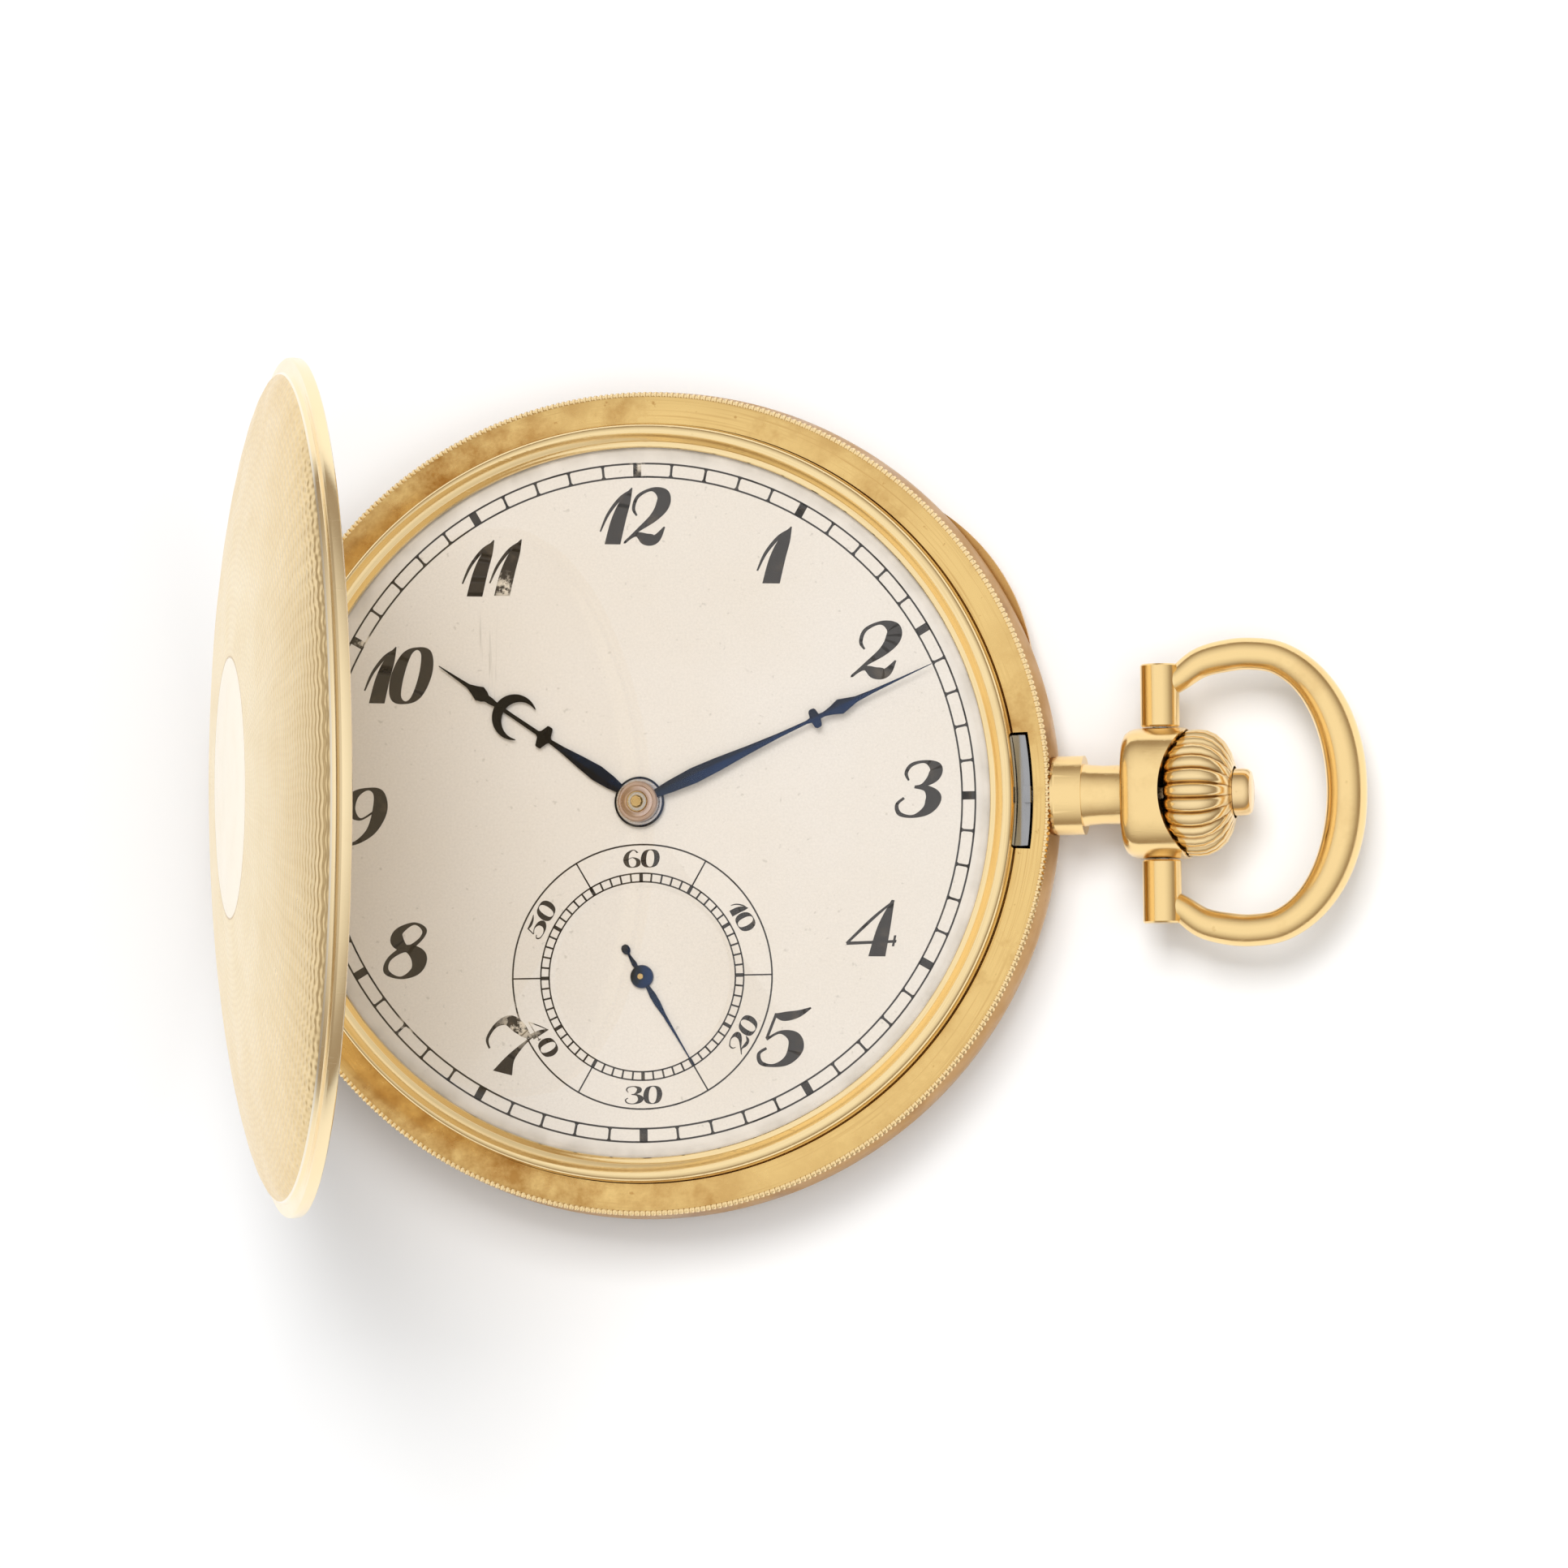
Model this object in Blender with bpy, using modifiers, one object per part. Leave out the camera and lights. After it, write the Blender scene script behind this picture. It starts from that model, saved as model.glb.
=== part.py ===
"""Hunter-case keyless pocket watch with a side-seconds dial at 6 o'clock.

Origin: centre of the flat outer face of the back cover, on the axis of the hands.
+Z towards the dial, +X towards the crown, +Y towards 12. Lengths below are millimetres.
"""

import math

import bmesh
import bpy
from mathutils import Matrix, Vector

MM = 0.001

# Case heights
Z_SEAT_BACK = 2.9
Z_FLANGE = 6.3
Z_STEM = 4.4
Z_DIAL = 7.0
CASE_R = 25.5
FLANGE_R = 25.04
MOVEMENT_R = 21.1
# Covers
COVER_OPEN_DEG = 69.3
COVER_WALL = 0.38
HINGE_X = -24.9
FRONT_HINGE_Z = 6.35
BACK_HINGE_Z = 2.9
CUVETTE_HINGE_X = -23.3
CUVETTE_HINGE_Z = 2.65
KNUCKLE_R = 0.62
# Pendant, bow and crown
BOW_PIVOT_X = 31.85
CROWN_X0 = 32.4
CROWN_X1 = 36.4
CROWN_R = 3.88
FLUTES = 24
STEM_R = 0.8
# Movement: wheel centres (x, y)
BARREL_C = (3.89, 8.34)
THIRD_C = (4.14, -5.89)
FOURTH_C = (0.0, -10.7)
ESCAPE_C = (-5.3, -9.2)
BALANCE_C = (-12.3, -2.5)
CROWN_WHEEL_C = (13.9, 1.6)
MINUTE_WHEEL_C = (3.9, -0.9)
SETTING_WHEEL_C = (11.15, 0.0)
# Hands: direction in degrees anticlockwise from +X
HOUR_DEG = 90.0 - 304.6
MINUTE_DEG = 90.0 - 66.3
SECONDS_DEG = 90.0 - 149.8

SEG_CASE = 40
SEG_MID = 36
SEG_SMALL = 20
SEG_PIN = 8

GOLD = (0.83, 0.60, 0.25)
PALE_GOLD = (0.90, 0.72, 0.42)
BRASS = (0.78, 0.60, 0.30)
STEEL = (0.62, 0.62, 0.64)
BLUED = (0.03, 0.05, 0.16)
NICKEL = (0.80, 0.77, 0.70)
SILVERED = (0.84, 0.78, 0.68)
GLASS = (0.90, 0.94, 0.96)

for old in list(bpy.data.objects):
    bpy.data.objects.remove(old, do_unlink=True)

PARTS = bpy.data.collections.new("pocket_watch")
CUTTERS = bpy.data.collections.new("cutters")
bpy.context.scene.collection.children.link(PARTS)
bpy.context.scene.collection.children.link(CUTTERS)
CUTTERS.hide_render = True


def place(obj, name, colour, rough, metal):
    """Puts an object in the parts collection under its own material."""
    obj.name = name
    obj.data.name = name
    PARTS.objects.link(obj)
    mat = bpy.data.materials.new(name + "_mat")
    mat.use_nodes = True
    shader = mat.node_tree.nodes["Principled BSDF"]
    shader.inputs["Base Color"].default_value = (*colour, 1.0)
    shader.inputs["Roughness"].default_value = rough
    shader.inputs["Metallic"].default_value = metal
    obj.data.materials.clear()
    obj.data.materials.append(mat)
    if obj.type == "MESH":
        for face in obj.data.polygons:
            face.use_smooth = True
        obj.data.set_sharp_from_angle(angle=math.radians(35))
    return obj


def frame(x=0.0, y=0.0, z=0.0, along=None, turn=0.0):
    """A placement in mm: `along` turns local Z onto the named axis, `turn` is about Z first."""
    spin = Matrix.Rotation(math.radians(turn), 4, "Z")
    if along == "X":
        spin = Matrix.Rotation(math.radians(90), 4, "Y") @ spin
    if along == "Y":
        spin = Matrix.Rotation(math.radians(-90), 4, "X") @ spin
    return Matrix.Translation(Vector((x, y, z)) * MM) @ spin


def lathe(profile, steps, at=None):
    """Turns a profile of (radius, height), listed from the top down its outer side, about local Z."""
    mesh = bpy.data.meshes.new("turned")
    shape = bmesh.new()
    points = [shape.verts.new((r * MM, 0.0, z * MM)) for r, z in profile]
    closed = profile[0][0] > 0.0
    for a, b in zip(points, points[1:]):
        shape.edges.new((a, b))
    if closed:
        shape.edges.new((points[-1], points[0]))
    shape.to_mesh(mesh)
    shape.free()
    obj = bpy.data.objects.new("turned", mesh)
    screw = obj.modifiers.new("turn", "SCREW")
    screw.axis = "Z"
    screw.steps = steps
    screw.render_steps = steps
    screw.use_merge_vertices = True
    screw.merge_threshold = 1e-6
    screw.use_normal_calculate = True
    obj.matrix_world = at or Matrix()
    return solid(obj)


def solid(obj):
    """The evaluated shape of an object as one welded mesh with its placement kept."""
    bpy.context.scene.collection.objects.link(obj)
    bpy.context.view_layer.update()
    graph = bpy.context.evaluated_depsgraph_get()
    mesh = bpy.data.meshes.new_from_object(obj.evaluated_get(graph))
    at = obj.matrix_world.copy()
    bpy.data.objects.remove(obj, do_unlink=True)
    shape = bmesh.new()
    shape.from_mesh(mesh)
    bmesh.ops.remove_doubles(shape, verts=shape.verts, dist=1e-6)
    bmesh.ops.recalc_face_normals(shape, faces=shape.faces)
    if shape.calc_volume(signed=True) < 0:
        bmesh.ops.reverse_faces(shape, faces=shape.faces)
    shape.to_mesh(mesh)
    shape.free()
    made = bpy.data.objects.new("solid", mesh)
    made.matrix_world = at
    return made


def rod(radius, length, steps=SEG_PIN, at=None, lift=0.0):
    """A cylinder from local z = lift up to lift + length."""
    mesh = bpy.data.meshes.new("rod")
    shape = bmesh.new()
    centre = Matrix.Translation((0, 0, (lift + length / 2) * MM))
    bmesh.ops.create_cone(shape, cap_ends=True, segments=steps, radius1=radius * MM,
                          radius2=radius * MM, depth=length * MM, matrix=centre)
    shape.to_mesh(mesh)
    shape.free()
    obj = bpy.data.objects.new("rod", mesh)
    obj.matrix_world = at or Matrix()
    return obj


def block(x0, x1, y0, y1, z0, z1, at=None):
    mesh = bpy.data.meshes.new("block")
    shape = bmesh.new()
    bmesh.ops.create_cube(shape, size=1.0)
    size = Matrix.Diagonal(((x1 - x0) * MM, (y1 - y0) * MM, (z1 - z0) * MM, 1.0))
    middle = Matrix.Translation(Vector(((x0 + x1) / 2, (y0 + y1) / 2, (z0 + z1) / 2)) * MM)
    bmesh.ops.transform(shape, matrix=middle @ size, verts=shape.verts)
    shape.to_mesh(mesh)
    shape.free()
    obj = bpy.data.objects.new("block", mesh)
    obj.matrix_world = at or Matrix()
    return obj


def plate(outlines, z0, z1, at=None):
    """A flat piece between two heights. The first outline is its edge, the others are holes."""
    data = bpy.data.curves.new("outline", "CURVE")
    data.dimensions = "2D"
    data.fill_mode = "BOTH"
    data.extrude = (z1 - z0) / 2 * MM
    for outline in outlines:
        spline = data.splines.new("POLY")
        spline.points.add(len(outline) - 1)
        for point, (x, y) in zip(spline.points, outline):
            point.co = (x * MM, y * MM, 0.0, 1.0)
        spline.use_cyclic_u = True
    obj = bpy.data.objects.new("outline", data)
    obj.matrix_world = (at or Matrix()) @ Matrix.Translation((0, 0, (z0 + z1) / 2 * MM))
    made = solid(obj)
    lift = Matrix.Translation((0, 0, (z0 + z1) / 2 * MM))
    made.data.transform(lift)
    made.matrix_world = at or Matrix()
    return made


def boolean(obj, others, operation):
    """Joins or cuts with other solids, then keeps the welded result."""
    for other in others:
        if other.name not in CUTTERS.objects:
            CUTTERS.objects.link(other)
        other.hide_render = True
        other.display_type = "WIRE"
        step = obj.modifiers.new(operation, "BOOLEAN")
        step.operation = operation
        step.object = other
        step.solver = "EXACT"
    made = solid(obj)
    for other in others:
        bpy.data.objects.remove(other, do_unlink=True)
    return made


def cut(obj, *others):
    return boolean(obj, others, "DIFFERENCE")


def join(obj, *others):
    return boolean(obj, others, "UNION")


def circle(radius, count, cx=0.0, cy=0.0, start=0.0):
    turn = 2 * math.pi / count
    return [(cx + radius * math.cos(start + i * turn), cy + radius * math.sin(start + i * turn))
            for i in range(count)]


def arc(radius, deg0, deg1, count, cx=0.0, cy=0.0):
    found = []
    for i in range(count + 1):
        a = math.radians(deg0 + (deg1 - deg0) * i / count)
        found.append((cx + radius * math.cos(a), cy + radius * math.sin(a)))
    return found


def band(r0, r1, deg0, deg1, count, cx=0.0, cy=0.0):
    """The outline of a ring sector."""
    return arc(r1, deg0, deg1, count, cx, cy) + arc(r0, deg1, deg0, count, cx, cy)


def teeth(count, tip, depth):
    """A toothed edge: one tip and one root for each tooth."""
    found = []
    for i in range(count):
        a = 2 * math.pi * i / count
        half = math.pi / count
        found.append((tip * math.cos(a), tip * math.sin(a)))
        found.append(((tip - depth) * math.cos(a + half), (tip - depth) * math.sin(a + half)))
    return found


def windows(r0, r1, spokes, gap_deg):
    """The openings between the spokes of a wheel."""
    step = 360.0 / spokes
    return [band(r0, r1, i * step + gap_deg, (i + 1) * step - gap_deg, 2) for i in range(spokes)]


def wheel(count, tip, depth, z0, z1, arbor_r, at, spokes=4, extra=()):
    """A spoked wheel with its arbor and pinion as one turned-and-cut piece."""
    holes = windows(max(arbor_r * 2.2, tip * 0.3), tip - depth - tip * 0.14, spokes, 9.0)
    body = plate([teeth(count, tip, depth)] + (holes if spokes else []), z0, z1)
    body = join(body, *extra)
    body.matrix_world = at
    return body


def pinion(leaves, tip, depth, z0, z1):
    return plate([teeth(leaves, tip, depth)], z0, z1)


# ---------------------------------------------------------------- case band
case = lathe([
    (FLANGE_R, Z_FLANGE), (25.16, 6.16), (25.22, 5.95), (25.47, 4.4), (CASE_R, 3.7),
    (25.3, 2.95), (24.25, 2.95), (24.25, 5.7), (22.9, 5.7), (22.9, 2.95),
    (20.6, 2.95), (20.6, 5.4), (21.3, 5.4), (21.3, 6.5), (22.0, 6.5), (22.0, 7.05),
    (22.5, 7.05), (22.5, 6.1), (23.5, 6.1), (23.58, Z_FLANGE),
], SEG_CASE)
front_axis = frame(HINGE_X, 0, FRONT_HINGE_Z, "Y")
back_axis = frame(HINGE_X, 0, BACK_HINGE_Z, "Y")
case = cut(
    case,
    rod(KNUCKLE_R + 0.12, 10.0, 16, front_axis, -5.0),
    rod(KNUCKLE_R + 0.12, 10.0, 16, back_axis, -5.0),
    plate([[(22.92, -3.22)] + arc(24.26, -7.8, 9.1, 5) + [(22.92, 3.8)]], 5.0, 7.0),
    block(-24.2, -23.62, -4.0, 4.0, 5.0, 7.0),
    rod(1.35, 6.0, 16, frame(20.0, 0, Z_STEM, "X")),
)
case = join(
    case,
    rod(KNUCKLE_R, 3.1, 16, front_axis, -1.55),
    block(-25.2, -24.45, -1.55, 1.55, 4.9, 6.2),
    rod(KNUCKLE_R, 3.1, 16, back_axis, -1.55),
    block(-25.2, -24.45, -1.55, 1.55, 3.1, 4.4),
    block(-23.7, -22.6, 2.7, 3.4, 2.3, 4.0),
    block(-23.7, -22.6, -3.4, -2.7, 2.3, 4.0),
)
case = cut(
    case,
    rod(0.33, 10.4, SEG_PIN, front_axis, -5.2),
    rod(0.33, 10.4, SEG_PIN, back_axis, -5.2),
    rod(0.24, 8.0, SEG_PIN, frame(CUVETTE_HINGE_X, 0, CUVETTE_HINGE_Z, "Y"), -4.0),
)
place(case, "case_band", GOLD, 0.35, 1.0)

# ---------------------------------------------------------------- front cover
COVER_OUT = [(0.0, 10.5), (7.0, 10.42), (14.0, 10.02), (20.0, 9.1), (23.2, 8.25),
             (24.2, 7.85), (24.8, 7.2), (25.42, 7.15), (CASE_R, 7.05), (CASE_R, 6.36)]
COVER_IN = [(24.4, 6.36), (24.4, 7.05), (23.8, 7.6), (22.9, 7.9), (19.8, 8.72), (13.9, 9.64),
            (7.0, 10.04), (0.0, 10.12)]
cover = lathe(COVER_OUT + COVER_IN, SEG_CASE)
cover = cut(cover, rod(KNUCKLE_R + 0.12, 3.3, 16, front_axis, -1.65))
cover = join(cover, rod(KNUCKLE_R, 3.2, 16, front_axis, 1.65), rod(KNUCKLE_R, 3.2, 16, front_axis, -4.85))
cover = cut(cover, rod(0.36, 10.4, SEG_PIN, front_axis, -5.2))
cover.data.transform(Matrix.Translation(Vector((-HINGE_X, 0, -FRONT_HINGE_Z)) * MM))
opened = Matrix.Rotation(math.radians(-COVER_OPEN_DEG), 4, "Y")
cover.matrix_world = Matrix.Translation(Vector((HINGE_X, 0, FRONT_HINGE_Z)) * MM) @ opened
place(cover, "front_cover", PALE_GOLD, 0.4, 1.0)
place(rod(0.28, 9.6, SEG_PIN, front_axis, -4.8), "front_hinge_pin", GOLD, 0.3, 1.0)

# ---------------------------------------------------------------- back cover
back = lathe([
    (0.0, 0.4), (11.4, 0.4), (18.4, 1.11), (22.8, 1.93), (24.4, 2.4), (24.45, 2.85),
    (25.3, 2.85), (25.38, 2.7), (25.36, 2.22), (24.95, 2.1), (18.5, 0.7),
    (11.5, 0.0), (0.0, 0.0),
], SEG_MID)
LIP_DEG = 90.0 - 57.0
lip = plate([arc(25.0, LIP_DEG - 14, LIP_DEG + 14, 6)[::-1]
             + [(25.3 * math.cos(math.radians(LIP_DEG - 11)), 25.3 * math.sin(math.radians(LIP_DEG - 11)))]
             + arc(25.95, LIP_DEG - 6, LIP_DEG + 6, 4)
             + [(25.3 * math.cos(math.radians(LIP_DEG + 11)), 25.3 * math.sin(math.radians(LIP_DEG + 11)))]],
            2.2, 2.7)
back = cut(back, rod(KNUCKLE_R + 0.12, 3.3, 16, back_axis, -1.65))
back = join(back, lip, rod(KNUCKLE_R, 3.2, 16, back_axis, 1.65), rod(KNUCKLE_R, 3.2, 16, back_axis, -4.85))
back = cut(back, rod(0.36, 10.4, SEG_PIN, back_axis, -5.2))
place(back, "back_cover", GOLD, 0.3, 1.0)
place(rod(0.28, 9.6, SEG_PIN, back_axis, -4.8), "back_hinge_pin", GOLD, 0.3, 1.0)

# ---------------------------------------------------------------- cuvette (inner dust cover)
cuvette_axis = frame(CUVETTE_HINGE_X, 0, CUVETTE_HINGE_Z, "Y")
cuvette = lathe([
    (0.0, 1.05), (10.0, 1.1), (18.0, 1.5), (21.2, 2.35), (21.6, 2.85), (22.75, 2.85),
    (22.8, 2.5), (21.9, 2.2), (18.2, 1.2), (10.0, 0.75), (0.0, 0.7),
], SEG_MID)
cuvette = join(cuvette, block(-23.35, -22.4, -2.4, 2.4, 2.5, 2.8),
               rod(0.38, 4.8, SEG_PIN, cuvette_axis, -2.4), rod(0.18, 6.4, 8, cuvette_axis, -3.2))
place(cuvette, "cuvette", GOLD, 0.25, 1.0)

# ---------------------------------------------------------------- bezel and crystal
bezel = lathe([
    (22.0, 7.5), (22.35, 7.66), (22.8, 7.7), (23.15, 7.55), (23.3, 7.2), (23.3, 6.36),
    (22.58, 6.36), (22.58, 7.12), (21.78, 7.12), (21.78, 7.3),
], SEG_CASE)
place(bezel, "bezel", GOLD, 0.12, 1.0)
CRYSTAL = [(0.0, 9.25), (9.0, 9.05), (16.0, 8.6), (20.3, 8.02), (21.7, 7.35),
           (21.7, 7.14), (21.4, 7.14), (20.0, 7.72), (15.9, 8.28), (8.9, 8.75), (0.0, 8.95)]
place(lathe(CRYSTAL, SEG_CASE), "crystal", GLASS, 0.03, 0.0)

# ---------------------------------------------------------------- pendant
HEAD_CUT_R = 5.8
CROWN_OUT = [(2.3, 0.0), (3.05, 0.35), (3.6, 0.9), (CROWN_R, 1.75), (3.75, 2.6), (3.2, 3.4), (2.3, 3.85),
             (1.7, 4.0)]
pendant = lathe([
    (1.2, 33.5), (3.98, 33.5), (3.98, 30.7), (3.82, 30.15), (3.4, 29.8), (1.85, 29.7),
    (1.8, 28.2), (1.95, 27.1), (1.95, 24.6), (1.2, 24.6),
], 24, frame(0, 0, Z_STEM, "X"))
for vertex in pendant.data.vertices:
    x, y, z = vertex.co / MM
    if z > 29.75:
        square = (abs(x) ** 3 + abs(y) ** 3) ** (1 / 3)
        stretch = math.hypot(x, y) / square if math.hypot(x, y) > 1.9 else 1.0
        vertex.co = Vector((x * stretch, y * stretch, z)) * MM


def oval(half_height, half_width):
    turns = [2 * math.pi * i / 24 for i in range(24)]
    return [(half_height * math.cos(a), half_width * math.sin(a)) for a in turns]


collar = plate([oval(1.42, 2.34)], 24.9, 26.5, frame(0, 0, Z_STEM, "X"))
collar = join(collar, plate([oval(2.15, 2.42)], 25.45, 27.18, frame(0, 0, Z_STEM, "X")))
seat = rod(CASE_R + 0.06, 9.0, SEG_CASE, None, 0.0)
nest = lathe([(0.0, 6.2)] + [(r + 0.14, z + 0.02) for r, z in reversed(CROWN_OUT)]
             + [(2.3, -0.12), (0.0, -0.12)], 28, frame(CROWN_X0, 0, Z_STEM, "X"))
pendant = join(pendant, collar)
pendant = cut(pendant, rod(HEAD_CUT_R, 12.0, 28, frame(38.0, 0, -1.6)), nest, seat,
              rod(1.35, 8.0, 16, frame(24.0, 0, Z_STEM, "X")),
              rod(0.42, 7.0, SEG_PIN, frame(BOW_PIVOT_X, 0, Z_STEM, "Y"), -8.5),
              rod(0.42, 7.0, SEG_PIN, frame(BOW_PIVOT_X, 0, Z_STEM, "Y"), 1.5))
place(pendant, "pendant", GOLD, 0.25, 1.0)

# ---------------------------------------------------------------- bow and its screws
BOW_PATH = [(33.0, 7.0, 0.8), (34.3, 7.9, 0.92), (35.8, 8.3, 0.98), (37.4, 8.42, 0.98), (39.2, 8.1, 1.0),
            (40.9, 6.9, 1.08), (42.2, 5.0, 1.18), (43.0, 2.6, 1.24), (43.25, 0.0, 1.25)]
path = BOW_PATH + [(x, -y, r) for x, y, r in reversed(BOW_PATH[:-1])]
path = [(31.9, 6.3, 0.7)] + path + [(31.9, -6.3, 0.7)]
ring = bpy.data.curves.new("ring", "CURVE")
ring.dimensions = "3D"
ring.bevel_depth = MM
ring.bevel_resolution = 2
ring.use_fill_caps = True
line = ring.splines.new("POLY")
line.points.add(len(path) - 1)
for point, (x, y, r) in zip(line.points, path):
    point.co = ((x - BOW_PIVOT_X) * MM, y * MM, 0.0, 1.0)
    point.radius = r
bow = solid(bpy.data.objects.new("ring", ring))
across = frame(0, 0, 0, "Y")
bow = join(bow, rod(1.2, 3.85, 16, across, 4.05), rod(1.2, 3.85, 16, across, -7.9))
bow = cut(bow, rod(0.5, 3.0, SEG_PIN, across, 3.5), rod(0.5, 3.0, SEG_PIN, across, -6.5))
bow.matrix_world = frame(BOW_PIVOT_X, 0, Z_STEM)
place(bow, "bow", GOLD, 0.2, 1.0)
for label, lift in (("upper", 1.75), ("lower", -6.45)):
    pin = rod(0.38, 4.7, SEG_PIN, frame(BOW_PIVOT_X, 0, Z_STEM, "Y"), lift)
    place(pin, "bow_screw_" + label, STEEL, 0.3, 1.0)

# ---------------------------------------------------------------- crown, push-piece, winding stem
crown_mesh = bpy.data.meshes.new("crown")
shape = bmesh.new()
CROWN_IN = [(1.6, 4.0), (1.6, 2.75), (0.88, 2.75), (0.88, 0.0)]
rings = []
for r, z in CROWN_OUT + CROWN_IN:
    row = []
    for i in range(2 * FLUTES):
        a = math.pi * i / FLUTES
        depth = r - 0.22 if i % 2 and r > 3.0 else r
        row.append(shape.verts.new((depth * math.cos(a) * MM, depth * math.sin(a) * MM, z * MM)))
    rings.append(row)
for a, b in zip(rings, rings[1:] + rings[:1]):
    for i in range(2 * FLUTES):
        j = (i + 1) % (2 * FLUTES)
        shape.faces.new((a[i], a[j], b[j], b[i]))
bmesh.ops.recalc_face_normals(shape, faces=shape.faces)
shape.to_mesh(crown_mesh)
shape.free()
crown = bpy.data.objects.new("crown", crown_mesh)
crown.matrix_world = frame(CROWN_X0, 0, Z_STEM, "X")
place(crown, "crown", GOLD, 0.25, 1.0)
push = lathe([(0.0, 37.5), (0.9, 37.42), (1.35, 37.1), (1.45, 36.7), (1.45, 36.1), (0.36, 36.1),
              (0.36, 24.1), (0.0, 24.1)], 16, frame(0, 0, Z_STEM, "X"))
push = join(push, block(24.16, 24.44, -1.15, 1.15, -0.18, 0.18, frame(0, 0, Z_STEM)))
place(push, "push_piece", GOLD, 0.2, 1.0)
stem = lathe([(0.45, 35.1), (STEM_R, 35.1), (STEM_R, 22.6), (0.6, 22.4), (0.6, 15.0), (0.3, 14.9),
              (0.3, 13.8), (0.0, 13.8), (0.0, 23.2), (0.45, 23.2)], 16, frame(0, 0, Z_STEM, "X"))
stem = cut(stem, block(23.5, 24.65, -1.2, 1.2, Z_STEM - 0.26, Z_STEM + 0.26))
place(stem, "winding_stem", STEEL, 0.25, 1.0)

# ---------------------------------------------------------------- cover catch and case springs
catch = plate([[(23.34, -3.12)] + arc(24.1, -7.4, 8.75, 5) + [(23.34, 3.68)]], 3.0, 6.26)
catch = join(catch, block(23.75, 24.2, -0.53, 0.53, 6.1, 6.95))
catch = cut(catch, rod(0.95, 2.0, 16, frame(22.5, 0, Z_STEM, "X")),
            block(23.0, 24.3, -0.95, 0.95, 2.9, Z_STEM))
place(catch, "cover_catch", STEEL, 0.3, 1.0)
place(plate([band(23.5, 23.75, -85, -10, 16)], 3.3, 5.3), "catch_spring", STEEL, 0.3, 1.0)
place(plate([band(23.5, 23.8, 100, 171, 16)], 3.5, 5.5), "lift_spring", STEEL, 0.3, 1.0)

# ---------------------------------------------------------------- keyless work
winding_pinion = plate([teeth(12, 1.93, 0.35), circle(0.66, 16)], 0.0, 1.5)
winding_pinion.matrix_world = frame(17.2, 0, Z_STEM, "X")
place(winding_pinion, "winding_pinion", STEEL, 0.3, 1.0)
clutch = lathe([(0.66, 1.9), (1.5, 1.9), (1.5, 1.25), (1.0, 1.25), (1.0, 0.75), (1.5, 0.75), (1.5, 0.0),
                (0.66, 0.0)], 16, frame(15.1, 0, Z_STEM, "X"))
place(clutch, "sliding_pinion", STEEL, 0.3, 1.0)
crown_wheel = plate([teeth(28, 4.6, 0.45), circle(1.0, 16)], 1.75, 2.42)
crown_wheel.matrix_world = frame(*CROWN_WHEEL_C, 0)
place(crown_wheel, "crown_wheel", STEEL, 0.2, 1.0)
ratchet = plate([teeth(45, 7.42, 0.42), circle(0.9, 16)], 1.75, 2.2)
ratchet.matrix_world = frame(*BARREL_C, 0)
place(ratchet, "ratchet_wheel", STEEL, 0.2, 1.0)

# ---------------------------------------------------------------- main plate
mainplate = lathe([(0.0, 5.95), (19.9, 5.95), (19.9, 6.52), (21.1, 6.52), (21.1, 5.46), (20.4, 5.4),
                   (20.4, 4.95), (0.0, 4.95)], SEG_MID)
mainplate = cut(
    mainplate,
    rod(0.45, 3.0, SEG_PIN, frame(0, 0, 4.5)),
    block(14.3, 19.4, -2.1, 2.1, 4.9, 6.1),
    block(12.8, 21.6, -0.95, 0.95, 4.8, 5.35),
    rod(0.25, 3.0, SEG_PIN, frame(*FOURTH_C, 4.5)),
    rod(1.0, 2.0, SEG_SMALL, frame(*BALANCE_C, 5.0)),
)
place(mainplate, "main_plate", NICKEL, 0.3, 1.0)

# ---------------------------------------------------------------- bridges and cocks
def bridge(outline, feet, holes, z0=2.45, z1=3.3):
    body = plate([outline], z0, z1)
    columns = [rod(r, 4.92 - z1 + 0.1, 16, frame(x, y, z1 - 0.1)) for x, y, r in feet]
    body = join(body, *columns)
    drills = [rod(r, 3.6, SEG_PIN, frame(x, y, 1.6)) for x, y, r in holes]
    return cut(body, *drills) if drills else body


barrel_bridge = bridge(
    arc(20.0, -7, 128, 18) + [(-9.5, 6.5), (-3.2, -1.6), (2.5, -1.6), (8.5, -2.6)],
    [(-8.0, 13.6, 1.6), (17.2, 6.6, 1.4), (10.9, -1.4, 0.8)],
    [(0, 0, 0.4), (BARREL_C[0], BARREL_C[1], 0.8), (CROWN_WHEEL_C[0], CROWN_WHEEL_C[1], 0.6)],
)
barrel_bridge = cut(barrel_bridge, rod(4.75, 0.3, 24, frame(*CROWN_WHEEL_C, 2.3)),
                    block(16.9, 19.0, -2.2, 2.2, 2.3, 3.6), block(12.8, 21.0, -1.7, 1.7, 2.85, 3.6),
                    rod(0.55, 1.2, SEG_PIN, frame(-8.0, 13.6, 2.2)),
                    rod(0.55, 1.2, SEG_PIN, frame(17.2, 6.6, 2.2)))
place(barrel_bridge, "barrel_bridge", NICKEL, 0.3, 1.0)
train_bridge = bridge(
    arc(20.0, -128, -12, 16) + [(8.8, -3.0), (2.4, -2.2), (-1.6, -4.6), (-6.6, -7.4), (-8.4, -10.8)],
    [(13.5, -9.0, 1.6), (-6.8, -16.6, 1.4)],
    [(*THIRD_C, 0.3), (*FOURTH_C, 0.25), (*ESCAPE_C, 0.2)],
)
train_bridge = cut(train_bridge, rod(0.55, 1.2, SEG_PIN, frame(13.5, -9.0, 2.2)),
                   rod(0.55, 1.2, SEG_PIN, frame(-6.8, -16.6, 2.2)))
place(train_bridge, "train_bridge", NICKEL, 0.3, 1.0)
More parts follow.
